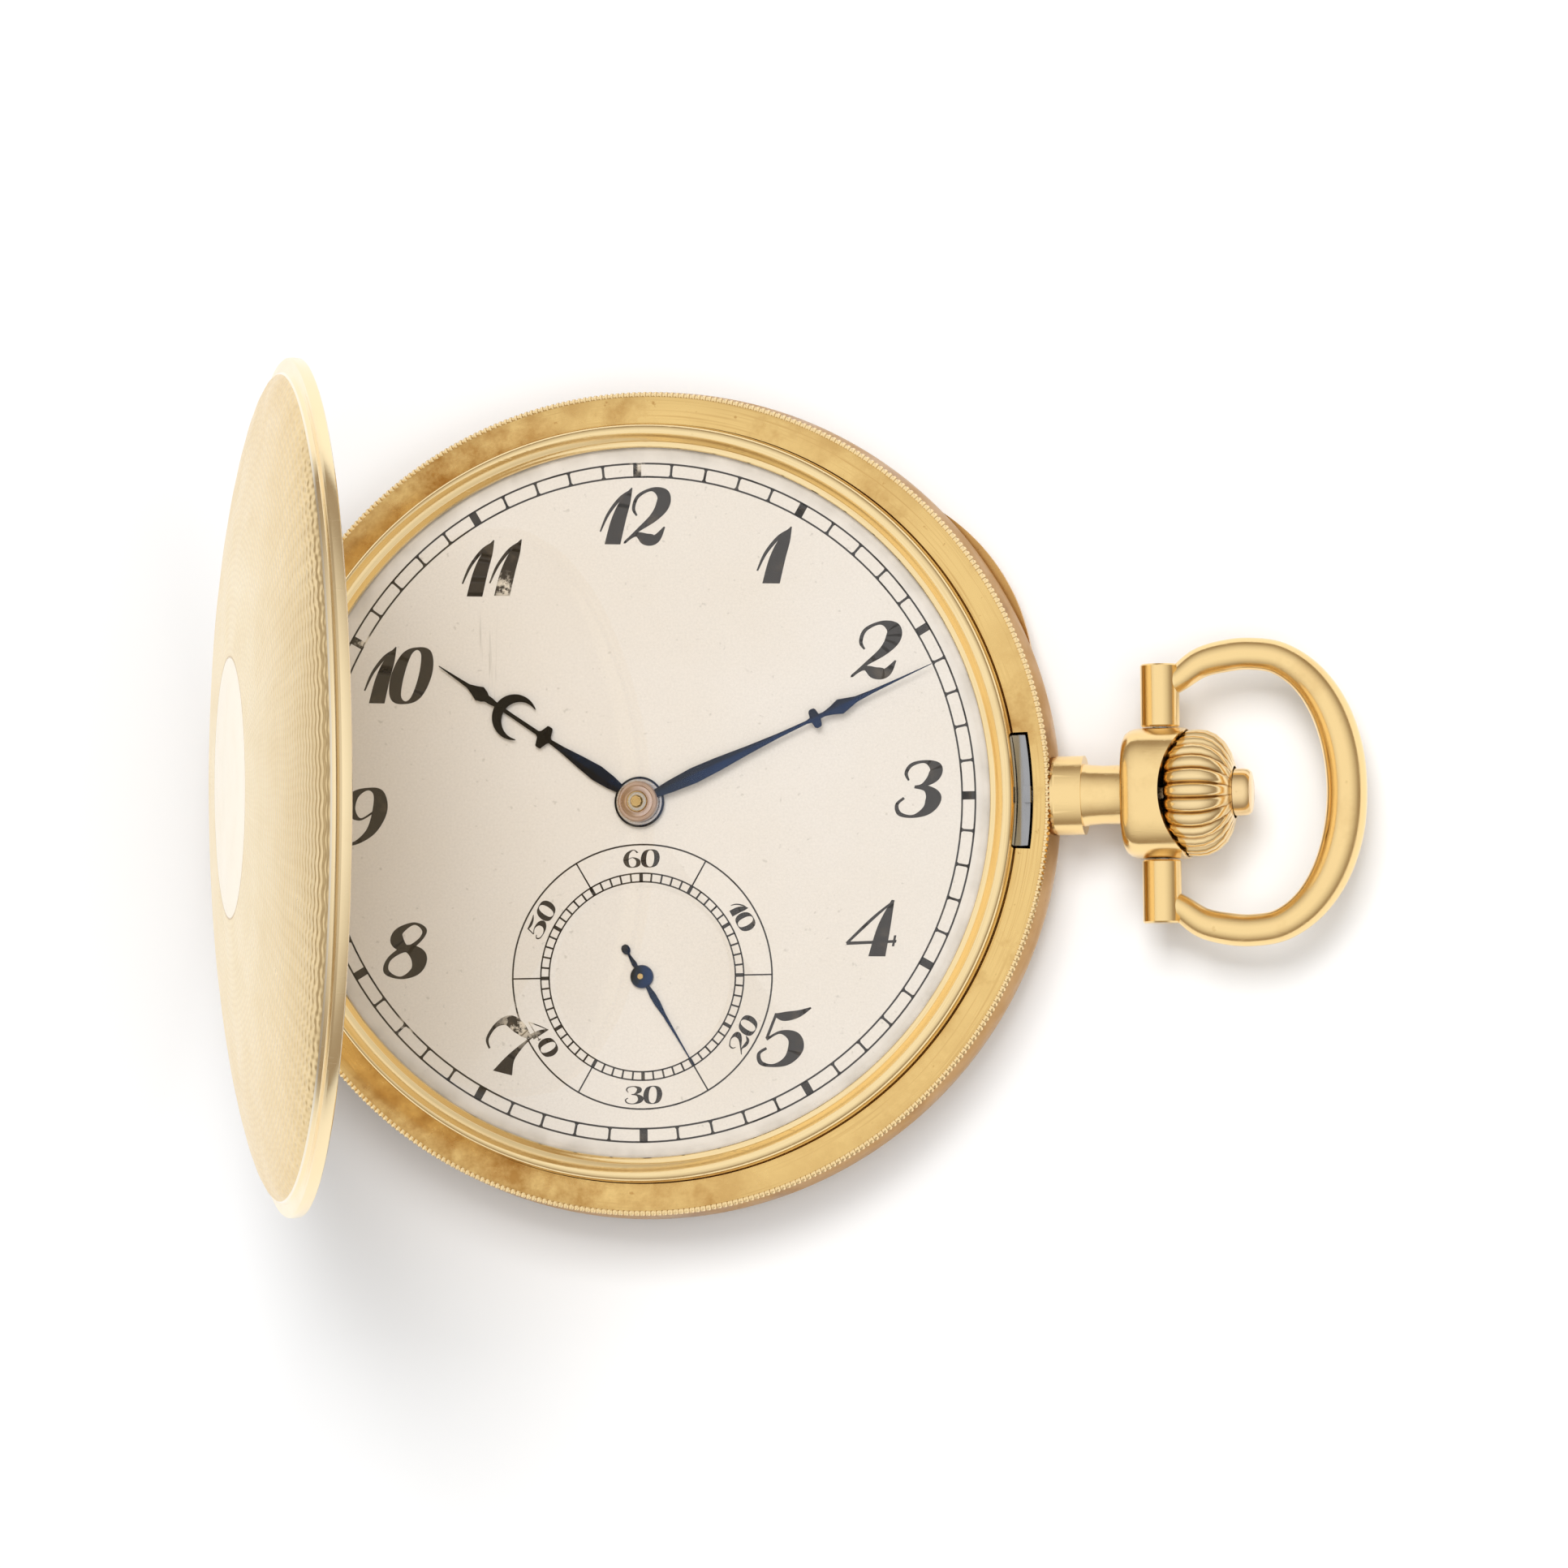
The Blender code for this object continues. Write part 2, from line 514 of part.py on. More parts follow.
balance_cock = bridge(
    arc(19.6, 148, 172, 5) + [(-14.8, -1.0), (-13.8, -3.6), (-12.2, -4.6), (-10.7, -3.9), (-10.2, -1.6),
                              (-10.6, 4.4), (-12.0, 9.2)],
    [(-15.4, 7.0, 1.5)],
    [(*BALANCE_C, 0.2)], 2.3, 3.1,
)
balance_cock = cut(balance_cock, rod(0.55, 1.2, SEG_PIN, frame(-15.4, 7.0, 2.1)))
place(balance_cock, "balance_cock", NICKEL, 0.3, 1.0)
PALLET_C = (-8.1, -6.5)
pallet_cock = plate([[(-11.2, -9.4), (-10.2, -10.4), (-7.4, -6.6), (-8.4, -5.7)]], 4.12, 4.36)
pallet_cock = join(pallet_cock, rod(0.65, 0.75, 12, frame(-10.5, -9.6, 4.17)))
pallet_cock = cut(pallet_cock, rod(0.14, 1.0, 8, frame(*PALLET_C, 3.8)))
place(pallet_cock, "pallet_cock", NICKEL, 0.3, 1.0)

# ---------------------------------------------------------------- going train
DRUM_R = 7.7
barrel = plate([teeth(64, 8.15, 0.4), circle(1.0, 12)], 4.55, 4.85)
barrel = join(barrel, plate([circle(DRUM_R, 32), circle(7.3, 32)], 3.75, 4.6))
barrel.matrix_world = frame(*BARREL_C, 0)
place(barrel, "barrel", BRASS, 0.25, 1.0)
coil = []
for i in range(57):
    a = i * 2 * math.pi / 16
    coil.append(((2.2 + i * 0.08) * math.cos(a), (2.2 + i * 0.08) * math.sin(a)))
thick = 0.14
inner = [(x * (1 - thick / math.hypot(x, y)), y * (1 - thick / math.hypot(x, y))) for x, y in coil]
place(plate([coil + inner[::-1]], 3.85, 4.5, frame(*BARREL_C, 0)), "mainspring", STEEL, 0.3, 1.0)
arbor = lathe([(0.0, 4.93), (0.8, 4.93), (0.8, 4.55), (1.9, 4.5), (1.9, 3.7), (0.72, 3.65), (0.72, 2.25),
               (0.55, 2.22), (0.55, 1.9), (0.0, 1.9)], 16, frame(*BARREL_C, 0))
place(arbor, "barrel_arbor", STEEL, 0.25, 1.0)

centre = wheel(64, 6.4, 0.4, 3.4, 3.6, 0.42, frame(0, 0, 0), 4, (
    pinion(8, 1.0, 0.32, 3.5, 4.85), rod(0.33, 5.85, SEG_PIN, None, 2.6)))
place(centre, "centre_wheel", BRASS, 0.25, 1.0)
third = wheel(60, 5.5, 0.36, 4.5, 4.68, 0.3, frame(*THIRD_C, 0), 4, (
    pinion(8, 0.78, 0.25, 3.38, 4.0), rod(0.22, 2.5, SEG_PIN, None, 2.4)))
place(third, "third_wheel", BRASS, 0.25, 1.0)
fourth = wheel(70, 4.95, 0.3, 3.9, 4.08, 0.3, frame(*FOURTH_C, 0), 4, (
    pinion(8, 0.8, 0.25, 4.3, 4.85), rod(0.18, 5.1, SEG_PIN, None, 2.5)))
place(fourth, "fourth_wheel", BRASS, 0.25, 1.0)
escape_teeth = []
for i in range(15):
    a = 2 * math.pi * i / 15
    escape_teeth += [(3.3 * math.cos(a), 3.3 * math.sin(a)), (2.4 * math.cos(a + 0.05), 2.4 * math.sin(a + 0.05)),
                     (2.4 * math.cos(a + 0.32), 2.4 * math.sin(a + 0.32))]
escape = plate([escape_teeth] + windows(0.8, 2.0, 4, 12.0), 4.45, 4.6)
escape = join(escape, pinion(7, 0.5, 0.16, 3.8, 4.3), rod(0.15, 2.5, SEG_PIN, None, 2.4))
escape.matrix_world = frame(*ESCAPE_C, 0)
place(escape, "escape_wheel", STEEL, 0.2, 1.0)

# ---------------------------------------------------------------- escapement
toward = math.degrees(math.atan2(BALANCE_C[1] - ESCAPE_C[1], BALANCE_C[0] - ESCAPE_C[0]))
fork = plate([[(-1.0, -2.05), (-0.2, -2.15), (0.35, -0.3), (3.6, -0.14), (4.0, -0.45), (4.5, -0.4), (4.5, -0.16),
               (4.1, -0.12), (4.1, 0.12), (4.5, 0.16), (4.5, 0.4), (4.0, 0.45), (3.6, 0.14), (0.35, 0.3),
               (-0.2, 2.15), (-1.0, 2.05), (-1.0, 1.75), (-0.35, 1.6), (-0.4, 0.0), (-0.35, -1.6), (-1.0, -1.75)]], 4.42, 4.62)
fork = join(fork, rod(0.11, 0.9, 8, None, 4.02))
fork.matrix_world = frame(*PALLET_C, 0, None, toward)
place(fork, "pallet_fork", STEEL, 0.2, 1.0)
balance = plate([circle(6.0, 32), band(1.0, 5.35, 8, 172, 8), band(1.0, 5.35, 188, 352, 8)], 3.6, 4.0)
balance = join(balance, rod(0.16, 2.35, SEG_PIN, None, 2.5), rod(0.8, 0.2, SEG_PIN, None, 4.2),
               rod(0.3, 1.0, SEG_PIN, None, 3.3), rod(0.09, 0.5, 8, frame(0.6, 0, 0), 4.15))
balance.matrix_world = frame(*BALANCE_C, 0, None, toward + 180.0)
place(balance, "balance_wheel", BRASS, 0.2, 1.0)
hair = []
for i in range(61):
    a = i * 2 * math.pi / 14
    hair.append((0.62 + i * 0.047, a))
outer_line = [((r + 0.06) * math.cos(a), (r + 0.06) * math.sin(a)) for r, a in hair]
inner_line = [((r - 0.06) * math.cos(a), (r - 0.06) * math.sin(a)) for r, a in hair]
place(plate([outer_line + inner_line[::-1]], 3.22, 3.4, frame(*BALANCE_C, 0)), "hairspring", BLUED, 0.25, 1.0)

# ---------------------------------------------------------------- winding and setting levers
click = plate([[(-0.7, -0.5), (0.6, -0.6), (2.1, -0.2), (2.3, 0.25), (0.6, 0.7), (-0.7, 0.6)], circle(0.4, 10)],
              1.85, 2.3)
CLICK_C = (-4.6, 13.3)
click.matrix_world = frame(*CLICK_C, 0, None, -52.0)
place(click, "click", STEEL, 0.2, 1.0)
place(plate([[(-6.6, 15.2), (-6.2, 15.5), (-2.8, 17.3), (2.0, 17.5), (2.0, 17.25), (-2.7, 17.05),
              (-5.2, 15.3), (-6.2, 14.6)]], 2.0, 2.4), "click_spring", STEEL, 0.2, 1.0)
setting_lever = plate([[(-1.0, -1.0), (1.0, -1.0), (2.2, 1.6), (1.9, 4.0), (1.2, 4.0), (1.1, 2.0),
                        (-0.6, 1.2)], circle(0.45, 10)], 6.12, 6.42, frame(16.0, -6.0, 0))
place(setting_lever, "setting_lever", STEEL, 0.3, 1.0)
yoke = plate([[(-0.8, -0.8), (0.8, -0.8), (1.3, 2.4), (4.2, 3.4), (4.6, 6.8), (4.0, 6.8), (3.6, 4.1),
               (0.4, 3.1), (-0.8, 0.8)], circle(0.4, 10)], 6.27, 6.5)
yoke = join(yoke, rod(0.18, 0.85, 8, frame(4.3, 6.55, 0), 5.5))
yoke.matrix_world = frame(11.8, -6.6, 0)
place(yoke, "yoke", STEEL, 0.3, 1.0)
setting_wheel = plate([teeth(50, 4.15, 0.3), circle(0.5, 12)], 6.05, 6.25, frame(*SETTING_WHEEL_C, 0))
place(setting_wheel, "setting_wheel", STEEL, 0.3, 1.0)

# ---------------------------------------------------------------- motion work
cannon = plate([teeth(12, 1.0, 0.24), circle(0.37, 12)], 6.0, 6.26)
cannon = join(cannon, lathe([(0.37, 8.1), (0.62, 8.1), (0.62, 6.2), (0.37, 6.2)], 16))
place(cannon, "cannon_pinion", BRASS, 0.3, 1.0)
hour_wheel = plate([teeth(40, 3.13, 0.28), circle(0.7, 14)], 6.32, 6.46)
hour_wheel = join(hour_wheel, lathe([(0.7, 7.5), (1.0, 7.5), (1.0, 6.4), (0.7, 6.4)], 16))
place(hour_wheel, "hour_wheel", BRASS, 0.3, 1.0)
minute_wheel = plate([teeth(36, 2.95, 0.26), circle(0.3, 10)], 6.02, 6.22)
minute_wheel = join(minute_wheel, plate([teeth(10, 0.82, 0.2), circle(0.3, 10)], 6.18, 6.46))
minute_wheel.matrix_world = frame(*MINUTE_WHEEL_C, 0)
place(minute_wheel, "minute_wheel", BRASS, 0.3, 1.0)

# ---------------------------------------------------------------- dial and hands
dial = lathe([(1.2, Z_DIAL), (21.9, Z_DIAL), (21.9, 6.6), (1.2, 6.6)], SEG_MID)
dial = cut(dial, rod(5.7, 1.0, 36, frame(*FOURTH_C, Z_DIAL - 0.12)), rod(0.4, 3.0, SEG_PIN, frame(*FOURTH_C, 5.5)))
place(dial, "dial", SILVERED, 0.6, 0.3)


def hand(name, outline, hub_r, hole_r, z0, z1, at, tube=None):
    body = join(plate([outline], z0, z1), rod(hub_r, z1 - z0 + 0.06, 20, None, z0 - 0.03))
    body = cut(body, rod(hole_r, 2.0, 16, None, z0 - 1.0)) if hole_r else body
    if tube:
        body = join(body, rod(*tube))
    body.matrix_world = at
    return place(body, name, BLUED, 0.2, 1.0)


hand("hour_hand", [(0.8, -0.3), (2.6, -0.42), (4.4, -0.2), (7.0, -0.14), (7.1, -0.63), (7.35, -0.63), (7.5, -0.14),
                   (8.8, -0.12), (9.0, -0.9), (10.0, -1.2), (10.8, -0.5), (11.4, -0.14), (12.0, -0.3),
                   (12.6, -0.12), (15.0, -0.04), (15.0, 0.04), (12.6, 0.12), (12.0, 0.3), (11.4, 0.14),
                   (10.8, 0.5), (10.0, 1.2), (9.0, 0.9), (8.8, 0.12), (7.5, 0.14), (7.35, 0.63), (7.1, 0.63),
                   (7.0, 0.14), (4.4, 0.2), (2.6, 0.42), (0.8, 0.3)],
     1.55, 1.04, 7.24, 7.4, frame(0, 0, 0, None, HOUR_DEG))
hand("minute_hand", [(0.7, -0.25), (4.0, -0.38), (8.0, -0.16), (11.9, -0.13), (12.0, -0.6), (12.25, -0.6),
                     (12.4, -0.13), (13.2, -0.2), (14.0, -0.42), (15.0, -0.12), (19.95, -0.04), (19.95, 0.04),
                     (15.0, 0.12), (14.0, 0.42), (13.2, 0.2), (12.4, 0.13), (12.25, 0.6), (12.0, 0.6),
                     (11.9, 0.13), (8.0, 0.16), (4.0, 0.38), (0.7, 0.25)],
     1.08, 0.65, 7.6, 7.76, frame(0, 0, 0, None, MINUTE_DEG))
hand("seconds_hand", [(-2.0, -0.1), (-1.4, -0.3), (-0.5, -0.1), (0.6, -0.12), (1.9, -0.22), (3.2, -0.08),
                      (6.4, -0.03), (6.4, 0.03), (3.2, 0.08), (1.9, 0.22), (0.6, 0.12), (-0.5, 0.1),
                      (-1.4, 0.3), (-2.0, 0.1)],
     0.72, 0.2, 7.04, 7.14, frame(*FOURTH_C, 0, None, SECONDS_DEG))

# ---------------------------------------------------------------- regulator and screws
regulator = plate([[(-0.6, 0.3), (0.6, 0.3), (0.3, 1.7), (0.1, 4.7), (-0.1, 4.7), (-0.3, 1.7)]], 2.02, 2.24)
regulator.matrix_world = frame(*BALANCE_C, 0)
place(regulator, "regulator", STEEL, 0.2, 1.0)
SCREWS = [
    ("barrel_bridge_screw_1", (-8.0, 13.6), 0.5, 1.1, 2.42, 0.35, 2.0),
    ("barrel_bridge_screw_2", (17.2, 6.6), 0.5, 1.1, 2.42, 0.35, 2.0),
    ("train_bridge_screw_1", (13.5, -9.0), 0.5, 1.1, 2.42, 0.35, 2.0),
    ("train_bridge_screw_2", (-6.8, -16.6), 0.5, 1.1, 2.42, 0.35, 2.0),
    ("balance_cock_screw", (-15.4, 7.0), 0.5, 1.1, 2.27, 0.35, 2.0),
    ("ratchet_screw", BARREL_C, 0.0, 1.7, 1.72, 0.25, 0.0),
    ("crown_wheel_screw", CROWN_WHEEL_C, 0.55, 1.7, 1.72, 0.25, 2.0),
]
for name, (x, y), shank, head_r, z_head, head_h, length in SCREWS:
    body = rod(head_r, head_h, 16, None, z_head - head_h)
    if shank:
        body = join(body, rod(shank - 0.06, 0.95, 10, None, z_head - 0.05))
    body = cut(body, block(-head_r - 0.1, head_r + 0.1, -0.1, 0.1, z_head - head_h - 0.1, z_head - head_h + 0.13))
    body.matrix_world = frame(x, y, 0, None, 35.0)
    place(body, name, STEEL, 0.15, 1.0)
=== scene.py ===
"""Finished look of the hunter-case pocket watch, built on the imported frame."""
import math

import bmesh
import bpy
from mathutils import Matrix, Vector


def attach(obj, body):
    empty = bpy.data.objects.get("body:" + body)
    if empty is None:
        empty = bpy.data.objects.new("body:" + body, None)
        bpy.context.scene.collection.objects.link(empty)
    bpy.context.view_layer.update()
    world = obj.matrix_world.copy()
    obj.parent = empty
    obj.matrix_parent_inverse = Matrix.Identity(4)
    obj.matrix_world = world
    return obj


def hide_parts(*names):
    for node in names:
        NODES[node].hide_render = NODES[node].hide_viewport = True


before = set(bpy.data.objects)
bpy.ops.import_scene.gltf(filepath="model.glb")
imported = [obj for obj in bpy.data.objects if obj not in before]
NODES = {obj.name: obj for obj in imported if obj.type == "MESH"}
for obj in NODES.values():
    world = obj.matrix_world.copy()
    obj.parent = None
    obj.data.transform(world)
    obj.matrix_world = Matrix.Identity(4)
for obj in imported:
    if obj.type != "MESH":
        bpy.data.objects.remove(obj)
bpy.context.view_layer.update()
MM = 0.001

# ------------------------------------------------------------------ dimensions in mm
Z_DIAL, Z_FLANGE, Z_STEM = 7.0, 6.3, 4.4
CASE_R = 25.5
HINGE_X, FRONT_Z, BACK_Z, OPEN_DEG = -24.9, 6.35, 2.9, 69.3
PIVOT_X, CROWN_X = 31.85, 32.4
FOURTH = (0.0, -10.7)
BALANCE = (-12.3, -2.5)
HOUR_DEG, MINUTE_DEG, SECONDS_DEG = 90 - 304.6, 90 - 66.3, 90 - 149.8
FINE = 256


# ------------------------------------------------------------------ mesh helpers
def at(x=0.0, y=0.0, z=0.0, along=None, turn=0.0):
    spin = Matrix.Rotation(math.radians(turn), 4, "Z")
    if along == "X":
        spin = Matrix.Rotation(math.radians(90), 4, "Y") @ spin
    if along == "Y":
        spin = Matrix.Rotation(math.radians(-90), 4, "X") @ spin
    return Matrix.Translation(Vector((x, y, z)) * MM) @ spin


def to_object(shape, name, where=None):
    mesh = bpy.data.meshes.new(name)
    bmesh.ops.remove_doubles(shape, verts=shape.verts, dist=5e-7)
    bmesh.ops.recalc_face_normals(shape, faces=shape.faces)
    if shape.calc_volume(signed=True) < 0:
        bmesh.ops.reverse_faces(shape, faces=shape.faces)
    shape.to_mesh(mesh)
    shape.free()
    mesh.transform(where or Matrix())
    obj = bpy.data.objects.new(name, mesh)
    bpy.context.scene.collection.objects.link(obj)
    return obj


def lathe(name, profile, steps, where=None, wave=None):
    """Turned piece from (radius, height) points. wave(r, z, angle) may change a radius."""
    shape = bmesh.new()
    closed = profile[0][0] > 0
    rings = []
    for r, z in profile:
        if r == 0:
            rings.append([shape.verts.new((0, 0, z * MM))] * steps)
            continue
        ring = []
        for i in range(steps):
            a = 2 * math.pi * i / steps
            k = wave(r, z, a) if wave else r
            ring.append(shape.verts.new((k * math.cos(a) * MM, k * math.sin(a) * MM, z * MM)))
        rings.append(ring)
    for lower, upper in zip(rings, rings[1:] + (rings[:1] if closed else [])):
        for i in range(steps):
            j = (i + 1) % steps
            corners = [lower[i], lower[j], upper[j], upper[i]]
            kept = [v for n, v in enumerate(corners) if v not in corners[:n]]
            if len(kept) > 2:
                shape.faces.new(kept)
    return to_object(shape, name, where)


def slab(name, outline, z0, z1, where=None, bevel=0.0):
    """Flat piece from an outline, with an optional rounded top edge."""
    shape = bmesh.new()
    low = [shape.verts.new((x * MM, y * MM, z0 * MM)) for x, y in outline]
    face = shape.faces.new(low)
    made = bmesh.ops.extrude_face_region(shape, geom=[face])
    moved = [v for v in made["geom"] if isinstance(v, bmesh.types.BMVert)]
    bmesh.ops.translate(shape, verts=moved, vec=(0, 0, (z1 - z0) * MM))
    obj = to_object(shape, name, where)
    if bevel:
        step = obj.modifiers.new("edge", "BEVEL")
        step.width = bevel * MM
        step.segments = 2
        step.limit_method = "ANGLE"
        step.angle_limit = math.radians(50)
    return obj


def rod(name, radius, z0, z1, steps=48, where=None):
    return lathe(name, [(0, z1), (radius, z1), (radius, z0), (0, z0)], steps, where)


def block(name, x0, x1, y0, y1, z0, z1):
    return slab(name, [(x0, y0), (x1, y0), (x1, y1), (x0, y1)], z0, z1)


def boolean(obj, kind, *others):
    for other in others:
        step = obj.modifiers.new(kind, "BOOLEAN")
        step.operation = kind
        step.object = other
        step.solver = "EXACT"
    bpy.context.view_layer.update()
    graph = bpy.context.evaluated_depsgraph_get()
    mesh = bpy.data.meshes.new_from_object(obj.evaluated_get(graph))
    obj.modifiers.clear()
    obj.data = mesh
    for other in others:
        bpy.data.objects.remove(other, do_unlink=True)
    return obj


def smooth(obj, degrees=32):
    for face in obj.data.polygons:
        face.use_smooth = True
    obj.data.set_sharp_from_angle(angle=math.radians(degrees))
    return obj


def finish_piece(obj, body, mats, replaces=()):
    smooth(obj)
    obj.data.materials.clear()
    for mat in mats if isinstance(mats, (list, tuple)) else [mats]:
        obj.data.materials.append(mat)
    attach(obj, body)
    for node in replaces:
        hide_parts(node)
    return obj


def arc(radius, deg0, deg1, count=16):
    turns = [math.radians(deg0 + (deg1 - deg0) * i / count) for i in range(count + 1)]
    return [(radius * math.cos(a), radius * math.sin(a)) for a in turns]


# ------------------------------------------------------------------ materials
class Nodes:
    """Small builder for a Principled material."""

    def __init__(self, name, colour, rough, metal, where=None):
        self.mat = bpy.data.materials.new(name)
        self.mat.use_nodes = True
        self.tree = self.mat.node_tree
        self.shader = self.tree.nodes["Principled BSDF"]
        self.shader.inputs["Base Color"].default_value = (*colour, 1)
        self.shader.inputs["Roughness"].default_value = rough
        self.shader.inputs["Metallic"].default_value = metal
        self.coords = self.tree.nodes.new("ShaderNodeTexCoord").outputs["Object"]
        if where:
            mapping = self.add("Mapping")
            undo = where.inverted()
            mapping.inputs["Location"].default_value = undo.to_translation()
            mapping.inputs["Rotation"].default_value = undo.to_euler()
            self.link(self.coords, mapping.inputs["Vector"])
            self.coords = mapping.outputs[0]

    def link(self, a, b):
        self.tree.links.new(a, b)

    def add(self, kind, **values):
        node = self.tree.nodes.new("ShaderNode" + kind)
        for key, value in values.items():
            setattr(node, key, value)
        return node

    def math(self, op, a, b=None, c=None):
        node = self.add("Math", operation=op)
        for i, v in enumerate((a, b, c)):
            if v is None:
                continue
            if isinstance(v, (int, float)):
                node.inputs[i].default_value = v
            else:
                self.link(v, node.inputs[i])
        return node.outputs[0]

    def noise(self, scale, detail=4.0, stretch=None, rough=0.55):
        source = self.coords
        if stretch:
            mapping = self.add("Mapping")
            mapping.inputs["Scale"].default_value = stretch
            self.link(source, mapping.inputs["Vector"])
            source = mapping.outputs[0]
        node = self.add("TexNoise")
        node.inputs["Scale"].default_value = scale
        node.inputs["Detail"].default_value = detail
        node.inputs["Roughness"].default_value = rough
        self.link(source, node.inputs["Vector"])
        return node.outputs["Fac"]

    def ramp(self, source, low, high, a=0.0, b=1.0):
        node = self.add("MapRange")
        for i, v in enumerate((low, high, a, b)):
            node.inputs[i + 1].default_value = v
        self.link(source, node.inputs[0])
        return node.outputs[0]

    def tint(self, factor, first, second):
        node = self.add("Mix", data_type="RGBA")
        self.link(factor, node.inputs[0])
        for i, v in ((6, first), (7, second)):
            if isinstance(v, tuple):
                node.inputs[i].default_value = (*v, 1)
            else:
                self.link(v, node.inputs[i])
        return node.outputs[2]

    def colour(self, source):
        self.link(source, self.shader.inputs["Base Color"])

    def rough(self, source):
        self.link(source, self.shader.inputs["Roughness"])

    def bump(self, height, distance, strength=1.0):
        node = self.add("Bump")
        node.inputs["Strength"].default_value = strength
        node.inputs["Distance"].default_value = distance * MM
        self.link(height, node.inputs["Height"])
        if self.shader.inputs["Normal"].is_linked:
            self.link(self.shader.inputs["Normal"].links[0].from_socket, node.inputs["Normal"])
        self.link(node.outputs[0], self.shader.inputs["Normal"])

    def xyz(self):
        node = self.add("SeparateXYZ")
        self.link(self.coords, node.inputs[0])
        return node.outputs

    def polar(self):
        x, y, _ = self.xyz()
        r = self.math("SQRT", self.math("ADD", self.math("MULTIPLY", x, x), self.math("MULTIPLY", y, y)))
        return r, self.math("ARCTAN2", y, x)


def gold(name, rough=0.2, wear=0.3, colour=(0.92, 0.70, 0.38), dark=(0.62, 0.36, 0.12), turned=0.0, stains=()):
    """Yellow gold with tarnish patches, rubbed variation and hairline scratches.

    turned adds the fine circular marks that a lathe or a polishing cloth leaves on a ring, and
    stains darkens it round the clock angles given, as (clock degrees, spread, amount).
    """
    m = Nodes(name, colour, rough, 1.0)
    patch = m.ramp(m.noise(150, 6.0, None, 0.65), 0.54, 0.74, 0.0, wear)
    speck = m.ramp(m.noise(1600, 3.0), 0.68, 0.74, 0.0, wear * 0.7)
    darkening = m.math("MAXIMUM", patch, speck)
    if turned:
        r, angle = m.polar()
        sweep = m.add("CombineXYZ")
        m.link(m.math("MULTIPLY", r, 9000.0), sweep.inputs[0])
        m.link(m.math("MULTIPLY", m.math("SINE", angle), 3.0), sweep.inputs[1])
        m.link(m.math("MULTIPLY", m.math("COSINE", angle), 3.0), sweep.inputs[2])
        lines = m.add("TexNoise")
        lines.inputs["Scale"].default_value = 1.0
        lines.inputs["Detail"].default_value = 3.0
        m.link(sweep.outputs[0], lines.inputs["Vector"])
        streak = lines.outputs["Fac"]
        darkening = m.math("MAXIMUM", darkening, m.ramp(streak, 0.5, 0.75, 0.0, turned))
        m.bump(streak, 0.012, 0.5 * turned + 0.1)
        x, y, _ = m.xyz()
        for clock, spread, amount in stains:
            a = math.radians(90 - clock)
            along = m.math("ADD", m.math("MULTIPLY", x, math.cos(a)), m.math("MULTIPLY", y, math.sin(a)))
            near = m.ramp(m.math("DIVIDE", along, r), math.cos(math.radians(spread)), 1.0, 0.0, amount)
            mottle = m.ramp(m.noise(330, 6.0, None, 0.7), 0.38, 0.62, 0.1, 1.0)
            darkening = m.math("MAXIMUM", darkening, m.math("MULTIPLY", near, mottle))
    m.colour(m.tint(darkening, colour, dark))
    m.rough(m.ramp(m.noise(420, 5.0), 0.3, 0.75, rough * 0.75, rough * 1.45))
    m.bump(m.ramp(m.noise(800, 3.0, (1.0, 9.0, 1.0)), 0.64, 0.7), 0.006, 0.3)
    m.bump(m.noise(2600, 2.0), 0.003, 0.2)
    return m.mat


def ribbed(name, where, count=24, phase=0.0):
    """Gold with dark brown painted into the grooves between the ribs of the crown or of the milled edge, as painted
    shade.
    """
    m = Nodes(name, (0.93, 0.71, 0.38), 0.17, 1.0, where)
    _, angle = m.polar()
    # Painted shade: the grooves between the ribs are tinted dark brown by their angle, broken up a little by noise.
    groove = m.math("ABSOLUTE", m.math("COSINE", m.math("MULTIPLY_ADD", angle, count / 2, phase)))
    darkening = m.math("MULTIPLY", m.ramp(groove, 0.42, 0.05, 0.0, 0.9), m.ramp(m.noise(500, 3.0), 0.2, 0.6, 0.5, 1.0))
    m.colour(m.tint(darkening, (0.93, 0.71, 0.38), (0.36, 0.18, 0.05)))
    m.rough(m.ramp(m.noise(420, 5.0), 0.3, 0.75, 0.12, 0.26))
    m.bump(m.noise(2600, 2.0), 0.003, 0.3)
    return m.mat


